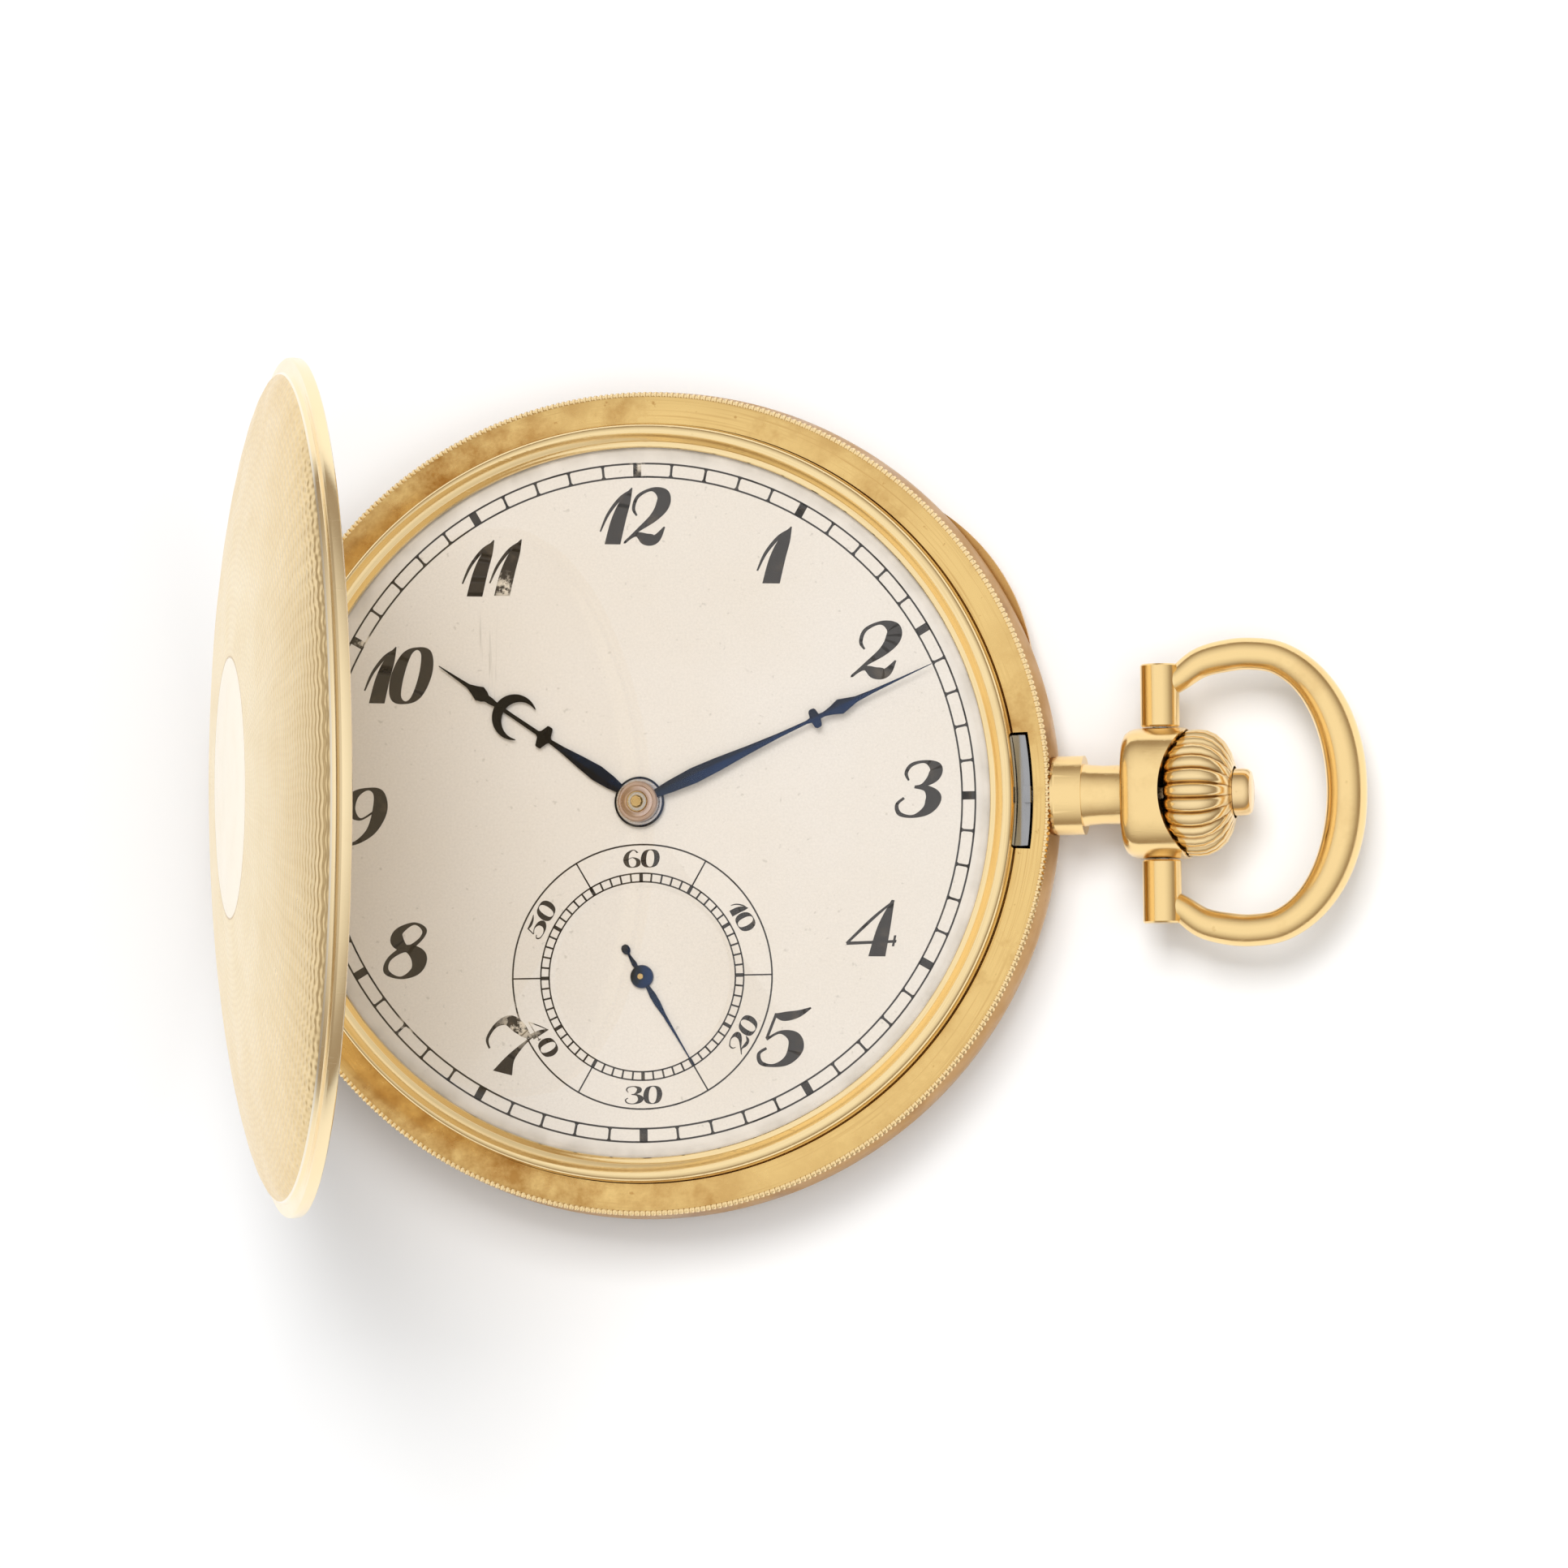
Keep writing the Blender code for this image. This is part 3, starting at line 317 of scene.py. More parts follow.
def engine_turned(name, plain_r, edge_r, where=None, rough=0.34, colour=(0.95, 0.81, 0.55)):
    """Gold cut with fine wavy rings, round a plain polished disc with a thin scribed border. Its colour turns a richer
    gold towards the rim as a painted reflection, and the troughs of the cut are tinted brown as painted shade.
    """
    m = Nodes(name, colour, rough, 1.0, where)
    r, angle = m.polar()
    sway = m.math("MULTIPLY", m.math("SINE", m.math("MULTIPLY", angle, 96.0)), 0.9)
    rings = m.math("SINE", m.math("MULTIPLY_ADD", r, 2 * math.pi / (0.42 * MM), sway))
    rays = m.math("SINE", m.math("MULTIPLY_ADD", m.math("SINE", m.math("MULTIPLY", r, 1400.0)), 1.6,
                                 m.math("MULTIPLY", angle, 240.0)))
    cut = m.math("MULTIPLY_ADD", rays, 0.45, rings)
    zone = m.math("MULTIPLY", m.math("GREATER_THAN", r, plain_r * MM), m.math("LESS_THAN", r, edge_r * MM))
    m.bump(m.math("MULTIPLY", cut, zone), 0.024, 0.8)
    border = m.math("LESS_THAN", m.math("ABSOLUTE", m.math("SUBTRACT", r, plain_r * MM)), 0.07 * MM)
    # Painted reflection: from 12 mm out to the rim the field is tinted towards a richer, darker gold.
    rim_reflection_tint = tuple(c * k for c, k in zip(colour, (0.93, 0.84, 0.66)))
    field = m.tint(m.ramp(r, 12 * MM, 24 * MM, 0.0, 0.9), colour, rim_reflection_tint)
    # Painted shade: the troughs of the cut are tinted brown, up to 0.16, so the wavy rings show in the colour too.
    field = m.tint(m.ramp(cut, -1.2, 1.2, 0.16, 0.0), field, (0.60, 0.38, 0.14))
    base = m.tint(zone, (0.94, 0.85, 0.68), field)
    m.colour(m.tint(m.math("MULTIPLY", border, 0.7), base, (0.55, 0.38, 0.17)))
    m.rough(m.math("MULTIPLY", m.ramp(m.noise(300, 4.0), 0.3, 0.7, rough * 0.8, rough * 1.2),
                   m.math("MULTIPLY_ADD", zone, 0.4, 0.6)))
    m.bump(m.ramp(m.noise(700, 3.0, (8.0, 1.0, 1.0)), 0.66, 0.7), 0.004, 0.25)
    return m.mat


def steel(name, colour=(0.56, 0.56, 0.58), rough=0.24, stretch=(1.0, 14.0, 1.0)):
    m = Nodes(name, colour, rough, 1.0)
    m.rough(m.ramp(m.noise(900, 4.0, stretch), 0.3, 0.7, rough * 0.7, rough * 1.5))
    m.bump(m.noise(2500, 2.0, stretch), 0.003, 0.4)
    m.colour(m.tint(m.ramp(m.noise(500, 4.0), 0.55, 0.8, 0.0, 0.35), colour, tuple(c * 0.7 for c in colour)))
    return m.mat


def blued(name, where=None, split=None, dark=(0.010, 0.011, 0.016), blue=(0.010, 0.036, 0.11)):
    """Heat-blued steel, its tint varying at random towards near black. With split it turns near black from split[0] to
    split[1] along the piece, and the half of the blade on the +y side is darkened as painted shade.
    """
    m = Nodes(name, blue, 0.16, 1.0, where)
    drift_and_side_shade = m.ramp(m.noise(260, 3.0), 0.35, 0.65, 0.0, 0.5)
    if split:
        x, y, _ = m.xyz()
        drift_and_side_shade = m.math("MAXIMUM", drift_and_side_shade, m.ramp(x, split[0] * MM, split[1] * MM))
        # Painted shade: the blade's +y half is darkened, as if that side were turned away from the light.
        drift_and_side_shade = m.math("MAXIMUM", drift_and_side_shade, m.ramp(y, -0.02 * MM, 0.1 * MM, 0.0, 0.8))
    m.colour(m.tint(drift_and_side_shade, blue, dark))
    m.rough(m.ramp(m.noise(1200, 3.0), 0.3, 0.7, 0.12, 0.28))
    m.bump(m.noise(4000, 2.0), 0.002, 0.3)
    return m.mat


def nickel(name, stripe=0.0):
    """Plated movement plate with ruled stripes."""
    m = Nodes(name, (0.78, 0.74, 0.66), 0.28, 1.0)
    x, y, _ = m.xyz()
    if stripe:
        run = m.math("MULTIPLY_ADD", y, 0.9, x)
        wave = m.math("FRACT", m.math("MULTIPLY", run, 1 / (stripe * MM)))
        m.bump(m.math("MULTIPLY", wave, m.math("SUBTRACT", 1.0, wave)), 0.05, 0.6)
    m.bump(m.noise(5000, 2.0), 0.002, 0.4)
    m.rough(m.ramp(m.noise(800, 4.0), 0.3, 0.7, 0.2, 0.4))
    m.colour(m.tint(m.ramp(m.noise(300, 3.0), 0.5, 0.8, 0.0, 0.3), (0.78, 0.74, 0.66), (0.6, 0.52, 0.4)))
    return m.mat


def gilt(name, colour=(0.80, 0.58, 0.26)):
    m = Nodes(name, colour, 0.25, 1.0)
    r, angle = m.polar()
    m.bump(m.math("SINE", m.math("MULTIPLY", r, 2 * math.pi / (0.12 * MM))), 0.003, 0.4)
    m.rough(m.ramp(m.noise(700, 4.0), 0.3, 0.7, 0.18, 0.38))
    m.colour(m.tint(m.ramp(m.noise(350, 3.0), 0.5, 0.8, 0.0, 0.4), colour, tuple(c * 0.75 for c in colour)))
    return m.mat


def silvered(name):
    """Grained silvered dial, warm with age and darker towards its edge."""
    base, warm, grey = (0.80, 0.745, 0.68), (0.76, 0.685, 0.585), (0.44, 0.40, 0.34)
    m = Nodes(name, base, 0.5, 0.15)
    r, _ = m.polar()
    cloud = m.ramp(m.noise(60, 4.0), 0.4, 0.75, 0.0, 0.55)
    edge = m.math("MULTIPLY", m.ramp(r, 20.6 * MM, 21.9 * MM), m.ramp(m.noise(420, 5.0), 0.35, 0.65, 0.15, 0.8))
    speck = m.ramp(m.noise(2200, 2.0), 0.68, 0.76, 0.0, 0.45)
    stain = m.ramp(m.noise(240, 2.0), 0.74, 0.80, 0.0, 0.4)
    grain = m.ramp(m.noise(7000, 2.0), 0.3, 0.7, 0.0, 0.16)
    x, y, _ = m.xyz()
    across = m.math("ABSOLUTE", m.math("SUBTRACT", x, -9.4 * MM))
    along = m.math("ABSOLUTE", m.math("SUBTRACT", y, 8.6 * MM))
    rubbed = m.math("MULTIPLY", m.ramp(across, 1.3 * MM, 0.6 * MM), m.ramp(along, 4.2 * MM, 2.0 * MM))
    hairs = m.math("MULTIPLY", rubbed, m.ramp(m.noise(330, 3.0, (14.0, 0.5, 1.0)), 0.6, 0.68, 0.0, 0.45))
    stain = m.math("MAXIMUM", stain, hairs)
    first = m.tint(cloud, base, warm)
    dirt = m.math("MAXIMUM", m.math("MAXIMUM", edge, speck), m.math("MAXIMUM", stain, grain))
    m.colour(m.tint(dirt, first, grey))
    m.rough(m.ramp(m.noise(5200, 2.0), 0.3, 0.7, 0.42, 0.62))
    m.bump(m.noise(9000, 2.0), 0.006, 0.7)
    m.bump(m.ramp(m.noise(260, 3.0, (1.0, 30.0, 1.0)), 0.68, 0.72), 0.004, 0.25)
    return m.mat


# Places where the print has rubbed away: x, y and radius.
WORN = ((-7.6, -13.4, 1.7), (-8.4, 13.4, 1.1), (0.1, 20.5, 0.7), (-17.2, 10.2, 0.8), (-14.8, -13.6, 0.9))


def ink(name):
    m = Nodes(name, (0.022, 0.018, 0.016), 0.32, 0.0)
    x, y, _ = m.xyz()
    worn = 0.0
    for cx, cy, size in WORN:
        dx, dy = m.math("SUBTRACT", x, cx * MM), m.math("SUBTRACT", y, cy * MM)
        away = m.math("SQRT", m.math("ADD", m.math("MULTIPLY", dx, dx), m.math("MULTIPLY", dy, dy)))
        worn = m.math("MAXIMUM", worn, m.ramp(away, size * MM, size * 0.3 * MM))
    flaking = m.math("MULTIPLY", worn, m.ramp(m.noise(1300, 5.0, None, 0.7), 0.46, 0.54))
    black = m.tint(m.ramp(m.noise(900, 4.0), 0.58, 0.72, 0.0, 0.5), (0.022, 0.018, 0.016), (0.10, 0.075, 0.05))
    m.colour(m.tint(flaking, black, (0.66, 0.58, 0.47)))
    m.bump(m.noise(3000, 3.0), 0.003, 0.5)
    return m.mat


def crystal_glass(name):
    m = Nodes(name, (1.0, 1.0, 1.0), 0.0, 0.0)
    m.shader.inputs["Metallic"].default_value = 1.0
    m.shader.inputs["Alpha"].default_value = 0.02
    m.rough(m.ramp(m.noise(500, 3.0, (1.0, 20.0, 1.0)), 0.7, 0.76, 0.0, 0.05))
    return m.mat


def ruby(name):
    m = Nodes(name, (0.55, 0.02, 0.08), 0.08, 0.0)
    m.shader.inputs["Coat Weight"].default_value = 0.6
    m.colour(m.tint(m.ramp(m.noise(1500, 3.0), 0.4, 0.7), (0.55, 0.02, 0.08), (0.75, 0.06, 0.16)))
    return m.mat


SWING = Matrix.Translation(Vector((HINGE_X, 0, FRONT_Z)) * MM) @ Matrix.Rotation(math.radians(-OPEN_DEG), 4, "Y") \
    @ Matrix.Translation(Vector((-HINGE_X, 0, -FRONT_Z)) * MM)
FLANGE_GOLD = gold("gold_satin", 0.26, 0.9, (0.86, 0.60, 0.24), (0.46, 0.22, 0.05), 0.45,
                   ((328, 30, 1.0), (205, 42, 0.9), (178, 20, 0.6), (35, 14, 0.5), (75, 12, 0.4), (140, 25, 0.35)))
BRIGHT_GOLD = gold("gold_bright", 0.13, 0.2, (0.93, 0.73, 0.40), (0.66, 0.42, 0.16), 0.25)
# Dark brown gold for the outer wall below the coin edge: tarnish patches over a base colour darkened as painted shade
# of that wall.
SHADED_EDGE_GOLD = gold("gold_edge_painted_shade", 0.36, 0.95, (0.50, 0.27, 0.07), (0.30, 0.13, 0.03))
BACK_RIM = gold("gold_back_rim", 0.26, 0.9, (0.70, 0.42, 0.15), (0.36, 0.16, 0.04))
PENDANT_GOLD = gold("gold_pendant", 0.17, 0.45, (0.94, 0.69, 0.33), (0.70, 0.44, 0.17))
COVER_TURNED = engine_turned("gold_engine_turned", 7.75, 24.5, SWING)
BACK_TURNED = engine_turned("gold_back", 7.75, 24.6, None, 0.32, (0.89, 0.68, 0.38))
RIM_GOLD = gold("gold_rim", 0.16, 0.15, (0.97, 0.79, 0.49), (0.70, 0.48, 0.22))
INK = ink("dial_ink")

# ------------------------------------------------------------------ case
front_axis = at(HINGE_X, 0, FRONT_Z, "Y")
back_axis = at(HINGE_X, 0, BACK_Z, "Y")
case = lathe("case_shell", [
    (24.98, Z_FLANGE), (25.05, 6.26), (25.12, 6.18), (25.16, 6.0), (25.22, 5.7), (25.36, 5.0), (25.46, 4.3),
    (CASE_R, 3.7), (25.46, 3.2), (25.36, 3.0), (25.26, 2.95), (24.25, 2.95), (24.25, 5.7), (22.9, 5.7),
    (22.9, 2.95), (20.6, 2.95), (20.6, 5.4), (21.3, 5.4), (21.3, 6.5), (22.0, 6.5), (22.0, 7.05), (22.5, 7.05),
    (22.5, 6.05), (23.24, 6.05), (23.32, 6.12), (23.33, 6.24), (23.37, Z_FLANGE),
], FINE)
boolean(case, "DIFFERENCE", rod("c1", 0.74, -5, 5, 32, front_axis), rod("c2", 0.84, -5, 5, 32, back_axis),
        slab("c3", [(22.5, -3.22)] + arc(24.26, -7.8, 9.1) + [(22.5, 3.8)], 5.0, 7.0),
        block("c4", -24.2, -23.62, -4, 4, 5.0, 7.0),
        rod("c5", 1.35, 20, 26, 32, at(0, 0, Z_STEM, "X")))
boolean(case, "UNION", rod("k1", 0.61, -1.55, 1.55, 32, front_axis), block("k2", -25.2, -24.45, -1.5, 1.5, 4.9, 6.2),
        rod("k3", 0.61, -1.55, 1.55, 32, back_axis), block("k4", -25.2, -24.45, -1.5, 1.5, 3.1, 4.4))
finish_piece(case, "case", [FLANGE_GOLD, SHADED_EDGE_GOLD], ["case_band"])
# Faces on the outer wall below the flange take the second material, the painted-shade brown gold.
for face in case.data.polygons:
    c = face.center / MM
    face.material_index = 1 if math.hypot(c.x, c.y) > 25.1 and c.z < 6.25 else 0

ROPE = 460
rope = lathe("case_coin_edge", [(24.96, 6.26), (25.08, 6.31), (25.2, 6.28), (25.27, 6.16), (25.27, 6.0),
                                (25.2, 5.85), (25.0, 5.85)], ROPE * 4, None,
             lambda r, z, a: r + (0.06 * math.sin(ROPE * a + 14 * (z - 6)) if r > 25.0 and z > 5.9 else 0.0))
finish_piece(rope, "case", ribbed("gold_milled", None, ROPE, -math.pi / 4), ())

# ------------------------------------------------------------------ covers
DOME = [(0.0, 10.5), (3.5, 10.49), (7.0, 10.43), (8.5, 10.39), (10.5, 10.3), (12.5, 10.16), (14.5, 9.98), (16.5, 9.73),
        (18.5, 9.4), (20.3, 9.04), (21.8, 8.67), (23.0, 8.32), (23.8, 8.02), (24.35, 7.72), (24.6, 7.45), (24.68, 7.25)]
RIM = [(24.78, 7.19), (25.1, 7.16), (25.38, 7.12), (25.48, 7.0), (CASE_R, 6.75), (25.46, 6.45), (25.3, 6.37),
       (24.6, 6.37)]
INNER = [(24.45, 6.5), (24.4, 7.05), (24.2, 7.3), (23.8, 7.6), (22.9, 7.94), (21.4, 8.37), (19.8, 8.75), (17.0, 9.28),
         (13.9, 9.68), (10.5, 9.94), (7.0, 10.06), (3.5, 10.11), (0.0, 10.12)]


cover = lathe("cover_shell", DOME + RIM + INNER, FINE)
boolean(cover, "DIFFERENCE", rod("c", 0.74, -1.65, 1.65, 32, front_axis))
boolean(cover, "UNION", rod("k1", 0.61, 1.65, 4.85, 32, front_axis), rod("k2", 0.61, -4.85, -1.65, 32, front_axis))
finish_piece(cover, "front_cover", [COVER_TURNED, RIM_GOLD], ["front_cover"])
for face in cover.data.polygons:
    c = face.center / MM
    face.material_index = 0 if face.normal.z > 0.2 and math.hypot(c.x, c.y) < 24.6 else 1
cover.data.transform(SWING)

back = lathe("back_shell", [
    (0.0, 0.4), (11.4, 0.4), (14.5, 0.6), (18.4, 1.08), (21.0, 1.52), (22.8, 1.9), (24.2, 2.3), (24.45, 2.5),
    (24.45, 2.85), (25.24, 2.85), (25.34, 2.76), (25.38, 2.5), (25.34, 2.22), (25.1, 2.12), (24.9, 2.08),
    (23.6, 1.74), (21.6, 1.27), (18.5, 0.7), (15.5, 0.33), (13.2, 0.12), (11.5, 0.0), (0.0, 0.0)], FINE)
boolean(back, "DIFFERENCE", rod("c", 0.74, -1.65, 1.65, 32, back_axis))
LIP_DEG, LIP_HALF_DEG = 33, 13
lip = []
for i in range(21):
    t = -1 + i / 10
    a = math.radians(LIP_DEG + LIP_HALF_DEG * t)
    r = 25.2 + 0.72 * max(0.0, math.cos(t * math.pi / 2)) ** 0.8
    lip.append((r * math.cos(a), r * math.sin(a)))
for i in range(11):
    a = math.radians(LIP_DEG + LIP_HALF_DEG * (1 - i / 5))
    lip.append((24.9 * math.cos(a), 24.9 * math.sin(a)))
boolean(back, "UNION", slab("lip", lip, 2.25, 2.68), rod("k1", 0.6, 1.65, 4.85, 32, back_axis),
        rod("k2", 0.6, -4.85, -1.65, 32, back_axis))
finish_piece(back, "back_cover", [BACK_TURNED, BACK_RIM], ["back_cover"])
for face in back.data.polygons:
    c = face.center / MM
    face.material_index = 0 if face.normal.z < -0.2 and 11.6 < math.hypot(c.x, c.y) < 24.85 else 1

# ------------------------------------------------------------------ bezel and crystal
bezel = lathe("bezel_ring", [
    (21.78, 7.36), (21.84, 7.44), (22.0, 7.46), (22.12, 7.44), (22.2, 7.47), (22.36, 7.6), (22.6, 7.68),
    (22.82, 7.7), (23.02, 7.64), (23.16, 7.52), (23.24, 7.36), (23.3, 7.1), (23.3, 6.7), (23.26, 6.36),
    (22.58, 6.36), (22.58, 7.12), (21.78, 7.12)], FINE)
finish_piece(bezel, "case", BRIGHT_GOLD, ["bezel"])
glass = lathe("crystal_dome", [
    (0.0, 9.24), (5.0, 9.18), (9.0, 9.03), (13.0, 8.8), (16.0, 8.58), (18.5, 8.3), (20.3, 8.0), (21.2, 7.72),
    (21.6, 7.5), (21.72, 7.3), (21.72, 7.14), (21.4, 7.14), (21.3, 7.3), (20.8, 7.52), (20.0, 7.74), (18.2, 8.02),
    (15.8, 8.29), (12.8, 8.51), (8.9, 8.74), (5.0, 8.88), (0.0, 8.94)], 192)
finish_piece(glass, "case", crystal_glass("crystal_glass"), ["crystal"])

# ------------------------------------------------------------------ dial
dial = lathe("dial_plate", [(1.2, Z_DIAL - 0.02), (1.22, Z_DIAL), (21.84, Z_DIAL), (21.9, Z_DIAL - 0.06), (21.9, 6.6),
                            (1.2, 6.6)], 192)
boolean(dial, "DIFFERENCE",
        lathe("well", [(0.0, 8.0), (5.74, 8.0), (5.74, Z_DIAL + 0.001), (5.55, Z_DIAL - 0.09), (5.4, Z_DIAL - 0.12),
                       (0.0, Z_DIAL - 0.12)], 128, at(*FOURTH, 0)),
        rod("hole", 0.4, 6.0, 8.0, 24, at(*FOURTH, 0)))
finish_piece(dial, "case", silvered("dial_silvered"), ["dial"])

INK_H = 0.012
printing = bmesh.new()


def print_quad(points, lift=0.0):
    """One flat patch of ink, as a shallow closed slab on the dial."""
    z0, z1 = (Z_DIAL - 0.004 + lift) * MM, (Z_DIAL + INK_H + lift) * MM
    low = [printing.verts.new((x * MM, y * MM, z0)) for x, y in points]
    high = [printing.verts.new((x * MM, y * MM, z1)) for x, y in points]
    n = len(points)
    printing.faces.new(high)
    printing.faces.new(low[::-1])
    for i in range(n):
        j = (i + 1) % n
        printing.faces.new((low[i], low[j], high[j], high[i]))


def polar_point(r, clock, c=(0.0, 0.0)):
    a = math.radians(90 - clock)
    return (c[0] + r * math.cos(a), c[1] + r * math.sin(a))


def print_ring(r, width, c=(0.0, 0.0), parts=180):
    for i in range(parts):
        a, b = 360 * i / parts, 360 * (i + 1) / parts
        print_quad([polar_point(r - width / 2, a, c), polar_point(r + width / 2, a, c),
                    polar_point(r + width / 2, b, c), polar_point(r - width / 2, b, c)][::-1])


def print_bar(r0, r1, clock, width, c=(0.0, 0.0), flare=0.0):
    """A radial bar that may widen where it meets the rings."""
    a = math.radians(90 - clock)
    ux, uy = math.cos(a), math.sin(a)
    spans = [(0.0, flare), (0.16, 0.0), (0.84, 0.0), (1.0, flare)]
    left, right = [], []
    for t, extra in spans:
        r, half = r0 + (r1 - r0) * t, width / 2 + extra
        left.append((c[0] + r * ux - half * uy, c[1] + r * uy + half * ux))
        right.append((c[0] + r * ux + half * uy, c[1] + r * uy - half * ux))
    for i in range(3):
        print_quad([left[i], left[i + 1], right[i + 1], right[i]][::-1])


def stroke_points(path, closed=False, steps=7):
    """A smooth run of (x, y, width) through the given points."""
    n = len(path)
    found = []
    for i in range(n if closed else n - 1):
        p = [path[(i + k) % n] if closed else path[min(max(i + k, 0), n - 1)] for k in (-1, 0, 1, 2)]
        for s in range(steps):
            t = s / steps
            found.append(tuple(
                0.5 * (2 * p[1][k] + (p[2][k] - p[0][k]) * t
                       + (2 * p[0][k] - 5 * p[1][k] + 4 * p[2][k] - p[3][k]) * t * t
                       + (3 * p[1][k] - p[0][k] - 3 * p[2][k] + p[3][k]) * t ** 3) for k in range(3)))
    found.append(found[0] if closed else path[-1])
    return found


# Pen strokes of each figure: x, y and stroke width, for a figure one unit high.
FIGURES = {
    "0": (0.70, [([(0.35, -0.0, .05), (0.14, 0.12, .20), (0.09, 0.48, .25), (0.17, 0.86, .19), (0.36, 1.0, .05),
                   (0.56, 0.88, .20), (0.62, 0.52, .25), (0.54, 0.14, .19)], True)]),
    "1": (0.50, [([(0.32, 0.0, .30), (0.34, 0.45, .28), (0.40, 0.80, .20), (0.47, 1.04, .02)], False),
                 ([(0.43, 0.98, .03), (0.28, 0.84, .07), (0.12, 0.56, .06), (0.04, 0.24, .03)], False)]),
    "2": (0.74, [([(0.15, 0.52, .03), (0.06, 0.66, .06), (0.10, 0.88, .07), (0.34, 1.0, .07), (0.56, 0.90, .22),
                   (0.60, 0.70, .27), (0.48, 0.48, .18), (0.22, 0.24, .07), (0.03, 0.03, .05),
                   (0.08, 0.10, .04)], False),
                 ([(0.04, 0.05, .05), (0.22, 0.17, .08), (0.42, 0.08, .21), (0.60, 0.08, .18),
                   (0.72, 0.30, .03)], False)]),
    "3": (0.72, [([(0.14, 0.66, .03), (0.07, 0.80, .06), (0.14, 0.95, .07), (0.36, 1.0, .06), (0.55, 0.89, .20),
                   (0.55, 0.72, .22), (0.40, 0.57, .08), (0.26, 0.54, .05)], False),
                 ([(0.26, 0.54, .05), (0.48, 0.50, .12), (0.62, 0.32, .27), (0.56, 0.12, .20), (0.34, 0.0, .06),
                   (0.10, 0.05, .07), (0.02, 0.22, .06), (0.12, 0.34, .05)], False)]),
    "4": (0.86, [([(0.56, 0.0, .29), (0.58, 0.55, .22), (0.64, 1.03, .05)], False),
                 ([(0.66, 1.02, .03), (0.36, 0.70, .06), (0.0, 0.25, .05)], False),
                 ([(0.0, 0.25, .06), (0.84, 0.27, .05)], False), ([(0.80, 0.18, .04), (0.80, 0.38, .04)], False)]),
    "5": (0.74, [([(0.16, 0.93, .06), (0.32, 0.90, .17), (0.54, 0.94, .14), (0.74, 1.05, .03)], False),
                 ([(0.17, 0.96, .05), (0.09, 0.50, .05)], False),
                 ([(0.09, 0.48, .05), (0.30, 0.61, .06), (0.54, 0.52, .20), (0.62, 0.30, .27), (0.52, 0.09, .18),
                   (0.30, 0.0, .06), (0.08, 0.05, .07), (0.01, 0.22, .06), (0.12, 0.32, .05)], False)]),
    "6": (0.70, [([(0.58, 0.84, .10), (0.42, 1.0, .05), (0.20, 0.80, .17), (0.12, 0.42, .25), (0.20, 0.10, .17),
                   (0.38, 0.0, .05), (0.58, 0.12, .18), (0.59, 0.40, .19), (0.38, 0.56, .05),
                   (0.16, 0.42, .05)], False)]),
    "7": (0.78, [([(0.07, 0.46, .03), (0.0, 0.64, .05), (0.10, 0.88, .08), (0.30, 0.97, .19), (0.50, 0.84, .21),
                   (0.66, 0.70, .12), (0.78, 0.66, .02)], False),
                 ([(0.77, 0.66, .03), (0.62, 0.50, .07), (0.46, 0.26, .17), (0.38, 0.0, .36)], False)]),
    "8": (0.74, [([(0.36, 0.54, .12), (0.17, 0.68, .22), (0.17, 0.86, .16), (0.40, 1.0, .05), (0.60, 0.88, .08),
                   (0.56, 0.70, .07)], True),
                 ([(0.36, 0.54, .14), (0.60, 0.38, .26), (0.60, 0.14, .20), (0.36, 0.0, .05), (0.09, 0.12, .09),
                   (0.10, 0.36, .08)], True)]),
    "9": (0.72, [([(0.06, 0.20, .05), (0.12, 0.04, .08), (0.30, 0.0, .07), (0.54, 0.22, .18), (0.62, 0.58, .26),
                   (0.54, 0.90, .18), (0.34, 1.0, .05), (0.12, 0.88, .17), (0.10, 0.62, .18), (0.30, 0.44, .05),
                   (0.50, 0.56, .04)], False)]),
}


def print_figures(text, x, y, height, slant=0.2, turn=0.0, weight=1.0, squeeze=1.0):
    """Figures centred at x, y. Each pen stroke is a ribbon of short ink patches."""
    total = sum(FIGURES[c][0] for c in text) + 0.02 * (len(text) - 1)
    pen = -total / 2
    ca, sa = math.cos(math.radians(turn)), math.sin(math.radians(turn))
    layer = 0

    def put(px, py):
        sx = (px * squeeze + slant * (py - 0.5)) * height
        sy = (py - 0.5) * height
        return (x + sx * ca - sy * sa, y + sx * sa + sy * ca)

    for c in text:
        width, strokes = FIGURES[c]
        for path, closed in strokes:
            points = stroke_points(path, closed)
            left, right = [], []
            for i, (px, py, w) in enumerate(points):
                a, b = points[max(i - 1, 0)], points[min(i + 1, len(points) - 1)]
                if closed and i in (0, len(points) - 1):
                    a, b = points[-2], points[1]
                dx, dy = b[0] - a[0], b[1] - a[1]
                size = math.hypot(dx, dy) or 1.0
                h = w * weight / 2
                left.append(put(pen + px - dy / size * h, py + dx / size * h))
                right.append(put(pen + px + dy / size * h, py - dx / size * h))
            layer += 1
            for i in range(len(points) - 1):
                print_quad([left[i], right[i], right[i + 1], left[i + 1]], 0.0004 * layer)
        pen += width + 0.02


# Minute track: two fine circles, a bar at each minute, a block at each fifth.
print_ring(20.82, 0.11)
print_ring(20.0, 0.11)
for minute in range(60):
    if minute % 5:
        print_bar(20.03, 20.8, minute * 6, 0.15, (0, 0), 0.09)
    else:
        print_bar(20.0, 20.82, minute * 6, 0.5)
HOURS = {"12": (-0.2, 17.55), "1": (8.4, 14.9), "2": (14.85, 9.0), "3": (17.4, 0.45), "4": (14.5, -8.05),
         "5": (8.75, -14.6), "7": (-8.4, -14.8), "8": (-14.75, -8.85), "9": (-17.4, -0.5), "10": (-15.2, 8.1),
         "11": (-9.3, 14.55)}
for text, (x, y) in HOURS.items():
    print_figures(text, x, y, 3.32, 0.22, squeeze=1.0 if len(text) > 1 else 1.1)

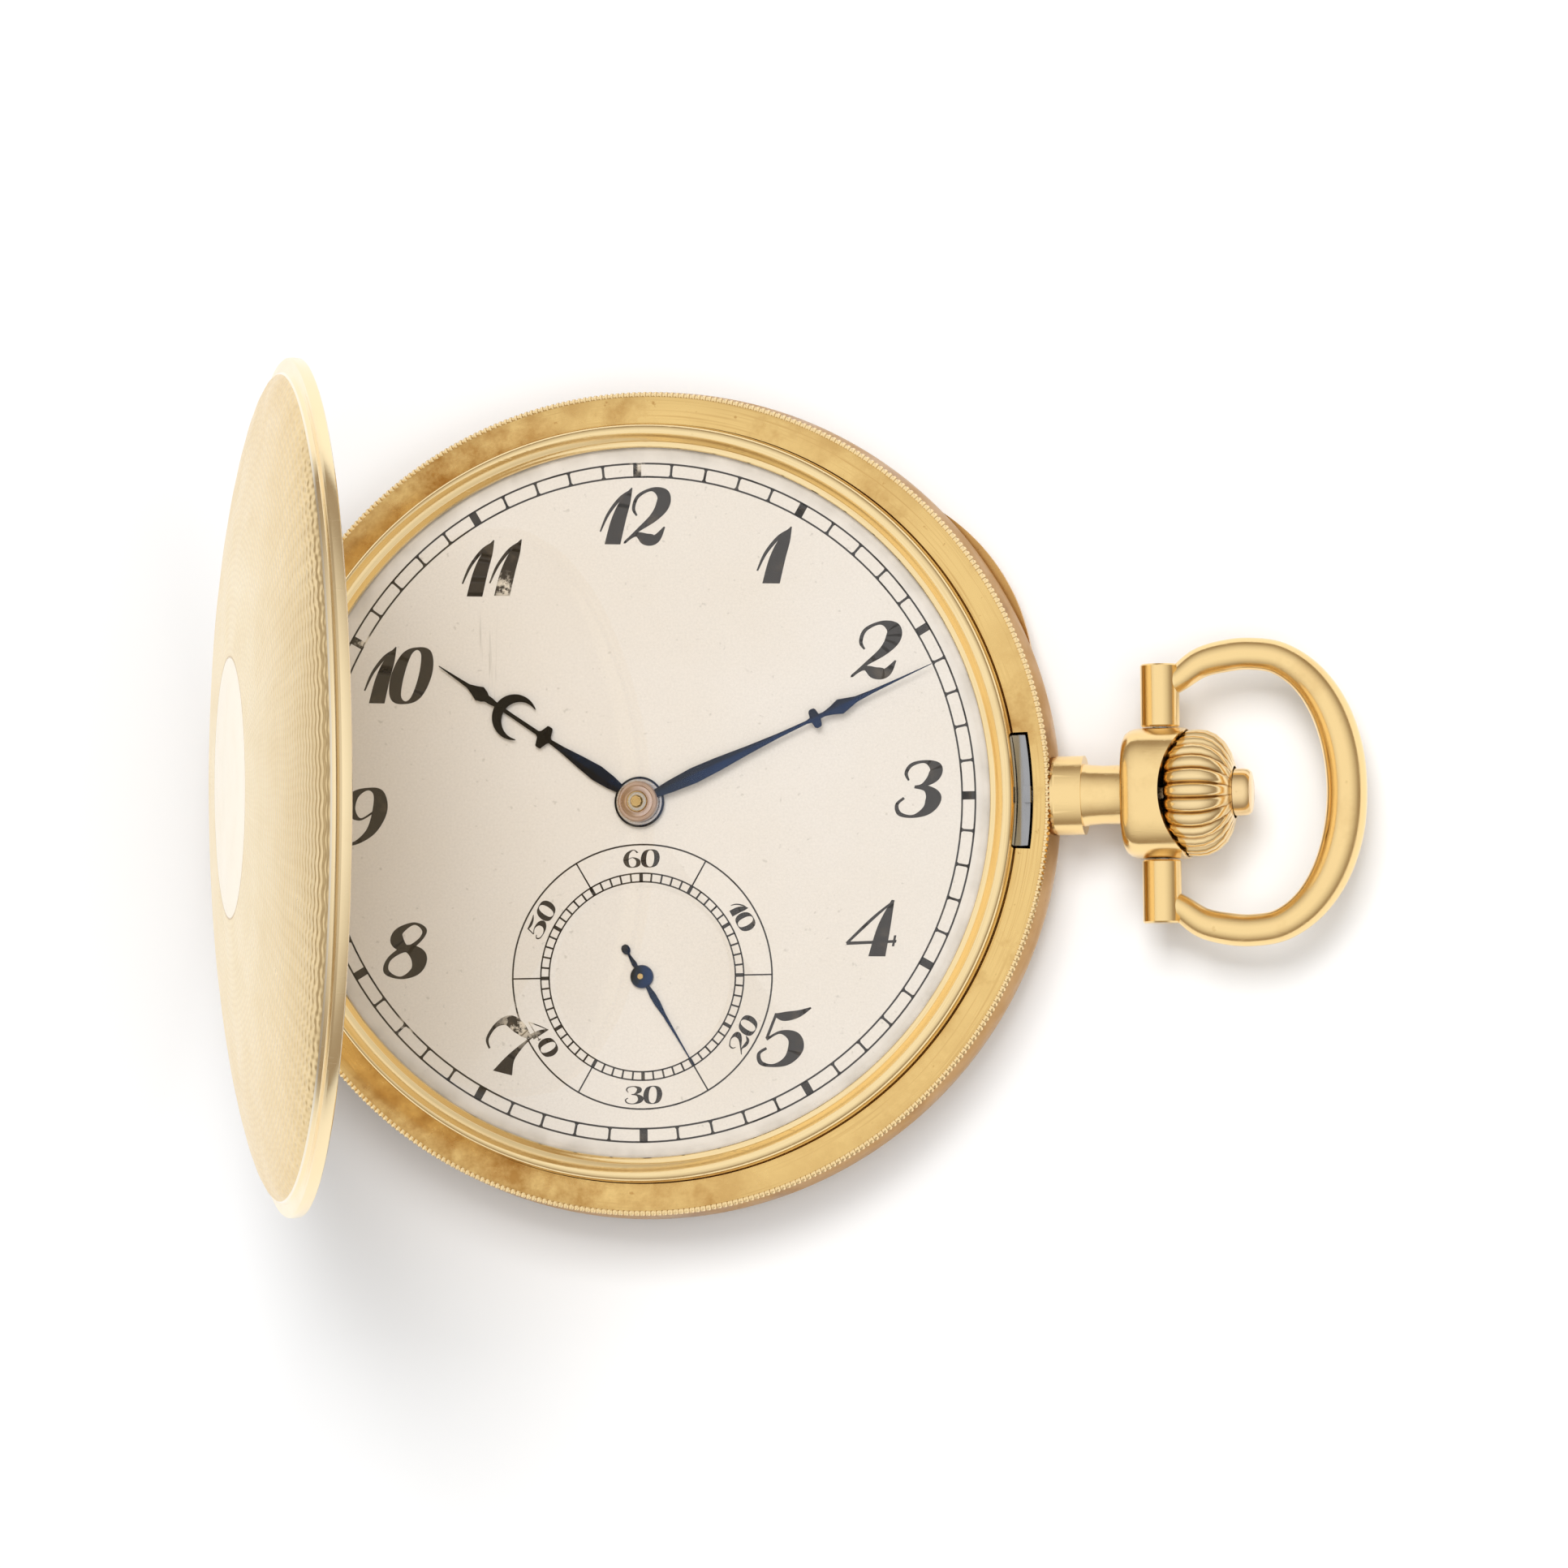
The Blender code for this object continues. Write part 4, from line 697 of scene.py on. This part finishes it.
# Seconds track.
print_ring(8.1, 0.1, FOURTH, 120)
print_ring(6.34, 0.09, FOURTH, 120)
print_ring(5.82, 0.09, FOURTH, 120)
for second in range(60):
    print_bar(5.82, 6.34, second * 6, 0.22 if second % 5 == 0 else 0.11, FOURTH)
for clock in (30, 90, 150, 210, 270, 330):
    print_bar(6.34, 8.1, clock, 0.09, FOURTH)
for text, clock, inward in (("60", 0, False), ("10", 60, False), ("20", 120, True), ("30", 180, True),
                            ("40", 240, True), ("50", 300, False)):
    x, y = polar_point(7.24, clock, FOURTH)
    print_figures(text, x, y, 1.06, 0.0, (180 - clock) if inward else -clock, 0.85, 1.5)
ink_piece = to_object(printing, "dial_printing")
finish_piece(ink_piece, "case", INK, ())

# ------------------------------------------------------------------ hands
def hand(name, outline, z0, z1, where, body, node, mat, bevel=0.04):
    half = [(x, y) for x, y in outline]
    full = half + [(x, -y) for x, y in reversed(half) if y > 0]
    obj = slab(name, full[::-1], z0, z1, where, bevel)
    return finish_piece(obj, body, mat, [node] if node else ())


hour_mat = blued("blued_hour", at(0, 0, 0, None, HOUR_DEG), (4.5, 6.5))
minute_mat = blued("blued_minute", at(0, 0, 0, None, MINUTE_DEG), (40.0, 50.0))
arm = [(1.3, 0.26), (2.2, 0.42), (3.2, 0.5), (4.4, 0.38), (5.8, 0.2), (6.75, 0.13), (6.85, 0.24), (6.95, 0.5),
       (7.02, 0.7), (7.12, 0.74), (7.3, 0.74), (7.4, 0.7), (7.47, 0.5), (7.57, 0.24), (7.7, 0.14), (9.6, 0.12),
       (10.8, 0.14), (11.3, 0.22), (11.55, 0.22), (11.75, 0.36), (12.1, 0.48), (12.5, 0.3), (12.95, 0.14), (13.6, 0.1),
       (15.2, 0.025)]
hand("hour_hand_blade", arm, 7.26, 7.38, at(0, 0, 0, None, HOUR_DEG), "hour_wheel", "hour_hand", hour_mat)
moon = [(9.45 + x, y) for x, y in arc(1.42, -128, 128, 32)]
moon += [(9.05 + x, y) for x, y in arc(1.16, 108, -108, 28)]
finish_piece(slab("hour_hand_moon", moon, 7.262, 7.378, at(0, 0, 0, None, HOUR_DEG), 0.03), "hour_wheel", hour_mat,
             ())
blade = [(0.9, 0.22), (2.2, 0.38), (3.8, 0.49), (5.4, 0.42), (7.6, 0.25), (9.6, 0.14), (11.5, 0.1), (11.8, 0.16),
         (11.86, 0.5), (11.95, 0.6), (12.1, 0.62), (12.25, 0.6), (12.33, 0.5), (12.4, 0.16), (12.7, 0.14), (13.2, 0.26),
         (13.8, 0.48), (14.3, 0.34), (14.9, 0.18), (16.0, 0.11), (17.8, 0.06), (20.0, 0.02)]
hand("minute_hand_blade", blade, 7.62, 7.74, at(0, 0, 0, None, MINUTE_DEG), "centre_wheel", "minute_hand", minute_mat)
sec = [(-2.25, 0.12), (-2.12, 0.24), (-1.9, 0.27), (-1.72, 0.2), (-1.6, 0.07), (-1.2, 0.12), (-0.9, 0.17), (-0.6, 0.1),
       (0.5, 0.09), (1.3, 0.2), (1.9, 0.2), (2.7, 0.11), (4.5, 0.06), (6.38, 0.025)]
hand("seconds_hand_blade", sec, 7.05, 7.13, at(*FOURTH, 0, None, SECONDS_DEG), "fourth_wheel", "seconds_hand",
     minute_mat, 0.02)
RINGS = [
    ("hour_hub", "hour_wheel", [(1.04, 7.4), (1.5, 7.4), (1.55, 7.36), (1.55, 7.24), (1.04, 7.24)], hour_mat,
     "hour_hand", (0, 0)),
    ("hour_ring", "hour_wheel", [(1.04, 7.43), (1.38, 7.43), (1.42, 7.4), (1.42, 7.39), (1.04, 7.39)],
     steel("steel_ring", (0.72, 0.72, 0.76)), "hour_hand", (0, 0)),
    ("hour_collar", "hour_wheel", [(1.02, 7.5), (1.16, 7.5), (1.22, 7.45), (1.22, 7.4), (1.02, 7.4)],
     steel("steel_collar", (0.7, 0.68, 0.68)), "hour_wheel", (0, 0)),
    ("minute_hub", "centre_wheel", [(0.64, 7.8), (1.0, 7.8), (1.08, 7.74), (1.08, 7.6), (0.64, 7.6)], minute_mat,
     "minute_hand", (0, 0)),
    ("cannon_top", "centre_wheel", [
        (0.62, 8.02), (0.66, 8.06), (0.72, 8.06), (0.78, 8.02), (0.95, 8.0), (1.0, 8.04), (1.16, 8.04), (1.24, 7.96),
        (1.25, 7.78), (0.62, 7.78)], gilt("rose_boss", (0.66, 0.50, 0.42)), "cannon_pinion", (0, 0)),
    ("cannon_rim", "centre_wheel", [(0.34, 8.1), (0.4, 8.14), (0.52, 8.14), (0.6, 8.08), (0.6, 7.8), (0.34, 7.8)],
     steel("steel_tip", (0.74, 0.73, 0.72)), "cannon_pinion", (0, 0)),
    ("seconds_hub", "fourth_wheel", [(0.14, 7.26), (0.5, 7.25), (0.68, 7.19), (0.72, 7.1), (0.72, 7.02), (0.14, 7.02)],
     minute_mat, "seconds_hand", FOURTH),
]
for name, body, profile, mat, slot_name, (x, y) in RINGS:
    finish_piece(lathe(name, profile, 72, at(x, y, 0)), body, mat, ())

# ------------------------------------------------------------------ pendant, bow, crown
CROWN_OUT = [(3.0, 0.0), (3.3, 0.1), (3.56, 0.35), (3.74, 0.75), (3.84, 1.25), (3.87, 1.8), (3.8, 2.35), (3.55, 2.9),
             (3.1, 3.4), (2.5, 3.75), (1.9, 3.95), (1.7, 4.0)]


def flute(r, z, a):
    depth = 0.30 * min(1.0, max(0.0, (r - 1.9) / 1.2))
    return r - depth * (1 - abs(math.cos(12 * a))) ** 1.6


crown = lathe("crown_fluted", CROWN_OUT[::-1] + [(0.88, 0.0), (0.88, 2.75), (1.6, 2.75), (1.6, 4.0)], 288,
              at(CROWN_X, 0, Z_STEM, "X"), lambda r, z, a: flute(r, z, a) if r > 1.75 else r)
finish_piece(crown, "crown_and_stem", ribbed("gold_crown", at(CROWN_X, 0, Z_STEM, "X")), ["crown"])
push = lathe("push_button", [
    (0.0, 37.5), (0.9, 37.48), (1.25, 37.4), (1.4, 37.22), (1.44, 36.95), (1.45, 36.1), (0.36, 36.1), (0.36, 24.1),
    (0.0, 24.1)], 64, at(0, 0, Z_STEM, "X"))
boolean(push, "UNION", block("bar", 24.17, 24.43, -1.14, 1.14, Z_STEM - 0.17, Z_STEM + 0.17))
finish_piece(push, "push_piece", gold("gold_button", 0.2, 0.4, (0.92, 0.68, 0.36), (0.60, 0.34, 0.12)), ["push_piece"])



def squared(r, z, a):
    """The head's section is a rounded square: wider across its corners than a circle."""
    if z < 29.75 or r < 1.9:
        return r
    return r / (abs(math.cos(a)) ** 3 + abs(math.sin(a)) ** 3) ** (1 / 3)


def oval(half_height, half_width):
    turns = [2 * math.pi * i / 72 for i in range(72)]
    return [(half_height * math.cos(a), half_width * math.sin(a)) for a in turns]


pendant = lathe("pendant_body", [
    (1.2, 33.5), (3.9, 33.5), (3.97, 33.44), (3.98, 33.3), (3.98, 30.9), (3.95, 30.5), (3.86, 30.18), (3.68, 29.93),
    (3.4, 29.8), (2.1, 29.78), (1.9, 29.66), (1.82, 29.4), (1.79, 28.4), (1.84, 27.6), (1.95, 27.1), (1.95, 24.6),
    (1.2, 24.6)], 128, at(0, 0, Z_STEM, "X"), squared)
collar = slab("collar", oval(1.42, 2.34), 24.9, 26.5, at(0, 0, Z_STEM, "X"))
band = slab("band", oval(2.15, 2.42), 25.45, 27.18, at(0, 0, Z_STEM, "X"))
nest = lathe("nest", [(0.0, 6.2)] + [(r + 0.1, z + 0.02) for r, z in reversed(CROWN_OUT)] + [(3.0, -0.1), (0.0, -0.1)],
             96, at(CROWN_X, 0, Z_STEM, "X"))
boolean(pendant, "UNION", collar, band)
boolean(pendant, "DIFFERENCE", rod("scoop", 5.8, -1.6, 10.4, 160, at(38.0, 0, 0)), nest,
        rod("seat", CASE_R - 0.25, 0.0, 9.0, FINE), rod("seat_top", CASE_R + 0.06, 6.3, 9.0, FINE),
        rod("seat_foot", CASE_R + 0.06, 0.0, 2.97, FINE), rod("bore", 1.35, 24.0, 32.0, 48, at(0, 0, Z_STEM, "X")),
        rod("p1", 0.42, -8.5, -1.5, 24, at(PIVOT_X, 0, Z_STEM, "Y")),
        rod("p2", 0.42, 1.5, 8.5, 24, at(PIVOT_X, 0, Z_STEM, "Y")))
finish_piece(pendant, "case", PENDANT_GOLD, ["pendant"])

PATH = [(33.0, 7.0, 0.8), (34.3, 7.9, 0.92), (35.8, 8.3, 0.98), (37.4, 8.42, 0.98), (39.2, 8.1, 1.0), (40.9, 6.9, 1.08),
        (42.2, 5.0, 1.18), (43.0, 2.6, 1.24), (43.25, 0.0, 1.24)]
PATH = [(31.9, 6.3, 0.7)] + PATH + [(x, -y, r) for x, y, r in reversed(PATH[:-1])] + [(31.9, -6.3, 0.7)]
wire = stroke_points(PATH, False, 8)
shape = bmesh.new()
SIDES = 40
loops = []
for i, (x, y, r) in enumerate(wire):
    a, b = wire[max(i - 1, 0)], wire[min(i + 1, len(wire) - 1)]
    d = Vector((b[0] - a[0], b[1] - a[1], 0)).normalized()
    side = Vector((d.y, -d.x, 0))
    loops.append([shape.verts.new((Vector((x, y, Z_STEM)) + (side * math.cos(2 * math.pi * k / SIDES)
                  + Vector((0, 0, 1)) * math.sin(2 * math.pi * k / SIDES)) * r) * MM) for k in range(SIDES)])
for a, b in zip(loops, loops[1:]):
    for k in range(SIDES):
        shape.faces.new((a[k], a[(k + 1) % SIDES], b[(k + 1) % SIDES], b[k]))
shape.faces.new(loops[0])
shape.faces.new(loops[-1][::-1])
bow = to_object(shape, "bow_ring")
pivot = at(PIVOT_X, 0, Z_STEM, "Y")
for lo, hi in ((4.05, 7.9), (-7.9, -4.05)):
    tube = [(0, hi), (1.1, hi), (1.19, hi - 0.1), (1.19, lo + 0.1), (1.1, lo), (0, lo)]
    boolean(bow, "UNION", lathe("tube", tube, 64, pivot))
boolean(bow, "DIFFERENCE", rod("h1", 0.5, 3.5, 6.5, 24, pivot), rod("h2", 0.5, -6.5, -3.5, 24, pivot))
finish_piece(bow, "bow", PENDANT_GOLD, ["bow"])

# ------------------------------------------------------------------ cover catch
catch = slab("catch_plate", [(23.34, -3.12)] + arc(24.1, -7.4, 8.75) + [(23.34, 3.68)], 3.0, 6.26, None, 0.06)
boolean(catch, "UNION", block("tooth", 23.75, 24.18, -0.5, 0.5, 6.1, 6.9),
        slab("cap", [(22.92, -3.08), (23.6, -3.09), (23.6, 3.63), (22.92, 3.64)], 5.6, 6.25))
boolean(catch, "DIFFERENCE", rod("hole", 0.95, 22.5, 24.5, 32, at(0, 0, Z_STEM, "X")),
        block("gap", 23.0, 24.3, -0.95, 0.95, 2.9, Z_STEM))
finish_piece(catch, "cover_catch", steel("steel_catch", (0.36, 0.36, 0.37), 0.22, (14.0, 1.0, 1.0)), ["cover_catch"])

# ------------------------------------------------------------------ movement trim
RUBY = ruby("ruby")
JEWEL = [(0.12, 0.0), (0.24, -0.03), (0.42, -0.05), (0.46, 0.0), (0.46, 0.1), (0.12, 0.1)]
for name, x, y, z, k in (("jewel_centre", 0, 0, 2.42, 1.0), ("jewel_third", 4.14, -5.89, 2.42, 0.8),
                         ("jewel_fourth", 0, -10.7, 2.42, 0.8), ("jewel_escape", -5.3, -9.2, 2.42, 0.7)):
    ring = [(r * k + (0.25 if k == 1.0 else 0.14), zz) for r, zz in JEWEL]
    finish_piece(lathe(name, ring, 40, at(x, y, z)), "case", RUBY, ())
cap = lathe("jewel_balance", [(0.0, -0.06), (0.34, -0.04), (0.42, 0.02), (0.42, 0.06), (0.0, 0.06)], 40,
            at(*BALANCE, 2.24 - 0.28))
finish_piece(cap, "regulator", RUBY, ())
timing = gold("timing_screw", 0.15, 0.1, (0.86, 0.6, 0.25))
for i in range(14):
    a = 2 * math.pi * (i + 0.5) / 14
    place = Matrix.Translation(Vector((*BALANCE, 3.8)) * MM) @ Matrix.Rotation(a, 4, "Z") @ Matrix.Rotation(
        math.radians(90), 4, "Y")
    stud = lathe("timing_screw_%02d" % i, [(0.0, 6.28), (0.16, 6.27), (0.17, 6.24), (0.17, 5.9), (0.0, 5.9)], 16, place)
    finish_piece(stud, "balance_wheel", timing, ())

# ------------------------------------------------------------------ materials for the CAD nodes that stay
STEEL = steel("steel_bright")
STEEL_ROUND = steel("steel_turned", (0.6, 0.6, 0.62), 0.2, None)
PLATE = nickel("nickel_striped", 1.6)
PLATE_PLAIN = nickel("nickel_plain")
GILT = gilt("gilt_wheel")
SCREW = blued("blued_screw")
INSIDE = gold("gold_inside", 0.14, 0.15, (0.9, 0.64, 0.28), (0.7, 0.45, 0.15))
for name, node in NODES.items():
    if "screw" in name and not name.startswith("bow"):
        mat = SCREW
    elif name in ("barrel_bridge", "train_bridge", "balance_cock"):
        mat = PLATE
    elif name in ("main_plate", "pallet_cock"):
        mat = PLATE_PLAIN
    elif name in ("barrel", "centre_wheel", "third_wheel", "fourth_wheel", "balance_wheel", "cannon_pinion",
                  "hour_wheel", "minute_wheel"):
        mat = GILT
    elif name == "hairspring":
        mat = SCREW
    elif name in ("front_hinge_pin", "back_hinge_pin", "cuvette"):
        mat = INSIDE
    elif name in ("ratchet_wheel", "crown_wheel"):
        mat = STEEL_ROUND
    else:
        mat = STEEL
    node.data.materials.clear()
    node.data.materials.append(mat)

# ------------------------------------------------------------------ stage, light and camera
shape = bmesh.new()
bmesh.ops.create_grid(shape, x_segments=1, y_segments=1, size=3.0)
floor = to_object(shape, "floor", Matrix.Translation((0, 0, -0.00005)))
white = bpy.data.materials.new("floor_white")
white.use_nodes = True
white.node_tree.nodes["Principled BSDF"].inputs["Base Color"].default_value = (0.93, 0.93, 0.93, 1)
white.node_tree.nodes["Principled BSDF"].inputs["Roughness"].default_value = 0.9
floor.data.materials.append(white)


def lamp(name, place, size, power, target=(0.0, 0.0, 0.0), tall=None):
    data = bpy.data.lights.new(name, "AREA")
    data.shape = "RECTANGLE"
    data.size = size
    data.size_y = tall or size
    data.energy = power
    obj = bpy.data.objects.new(name, data)
    bpy.context.scene.collection.objects.link(obj)
    obj.location = place
    obj.rotation_euler = (Vector(target) - Vector(place)).to_track_quat("-Z", "Y").to_euler()
    obj.visible_glossy = False
    return obj


lamp("key", (0.05, 0.42, 1.0), 0.45, 6.4)
lamp("fill", (0.32, -0.08, 1.05), 0.7, 4.6)

world = bpy.data.worlds.new("studio")
bpy.context.scene.world = world
world.use_nodes = True
tree = world.node_tree
background = tree.nodes["Background"]
split = tree.nodes.new("ShaderNodeSeparateXYZ")
tree.links.new(tree.nodes.new("ShaderNodeTexCoord").outputs["Generated"], split.inputs[0])


def sky(stops):
    ramp = tree.nodes.new("ShaderNodeValToRGB")
    tree.links.new(split.outputs["Z"], ramp.inputs[0])
    while len(ramp.color_ramp.elements) < len(stops):
        ramp.color_ramp.elements.new(0.5)
    for element, (place, level, warm) in zip(ramp.color_ramp.elements, stops):
        element.position = place
        element.color = (level, level * (1 - 0.5 * warm), level * (1 - warm), 1)
    return ramp.outputs[0]


# The metal sees a brighter ceiling and a darker horizon than the matt surfaces do.
seen = tree.nodes.new("ShaderNodeMix")
seen.data_type = "RGBA"
tree.links.new(tree.nodes.new("ShaderNodeLightPath").outputs["Is Glossy Ray"], seen.inputs[0])
tree.links.new(sky(((0.0, 0.20, 0.0), (0.6, 0.42, 0.0))), seen.inputs[6])
tree.links.new(sky(((0.0, 0.34, 0.42), (0.28, 0.42, 0.25), (0.6, 0.74, 0.08), (0.93, 1.02, 0.0))), seen.inputs[7])
tree.links.new(seen.outputs[2], background.inputs["Color"])
bpy.context.scene.view_settings.view_transform = "Standard"

# The camera was fitted to the dial and the open cover: angles in degrees, lengths in mm, lens in picture widths.
TILT, SHIFT, DISTANCE, LENS = (-3.149, -10.718, 0.613), (-8.799, -1.115, 0.0), 590.0, 11863.0 / 1932.0
RX, RY, RZ = (math.radians(v) for v in TILT)
turn = Matrix.Rotation(RX, 3, "X") @ Matrix.Rotation(RY, 3, "Y") @ Matrix.Rotation(RZ, 3, "Z")
eye = turn.transposed() @ (Vector((0, 0, DISTANCE)) - Vector(SHIFT)) + Vector((0, 0, Z_DIAL))
data = bpy.data.cameras.new("camera")
data.sensor_width = 36.0
data.lens = LENS * data.sensor_width
data.clip_start = 0.01
camera = bpy.data.objects.new("camera", data)
bpy.context.scene.collection.objects.link(camera)
camera.matrix_world = Matrix.Translation(eye * MM) @ turn.transposed().to_4x4()
bpy.context.scene.camera = camera
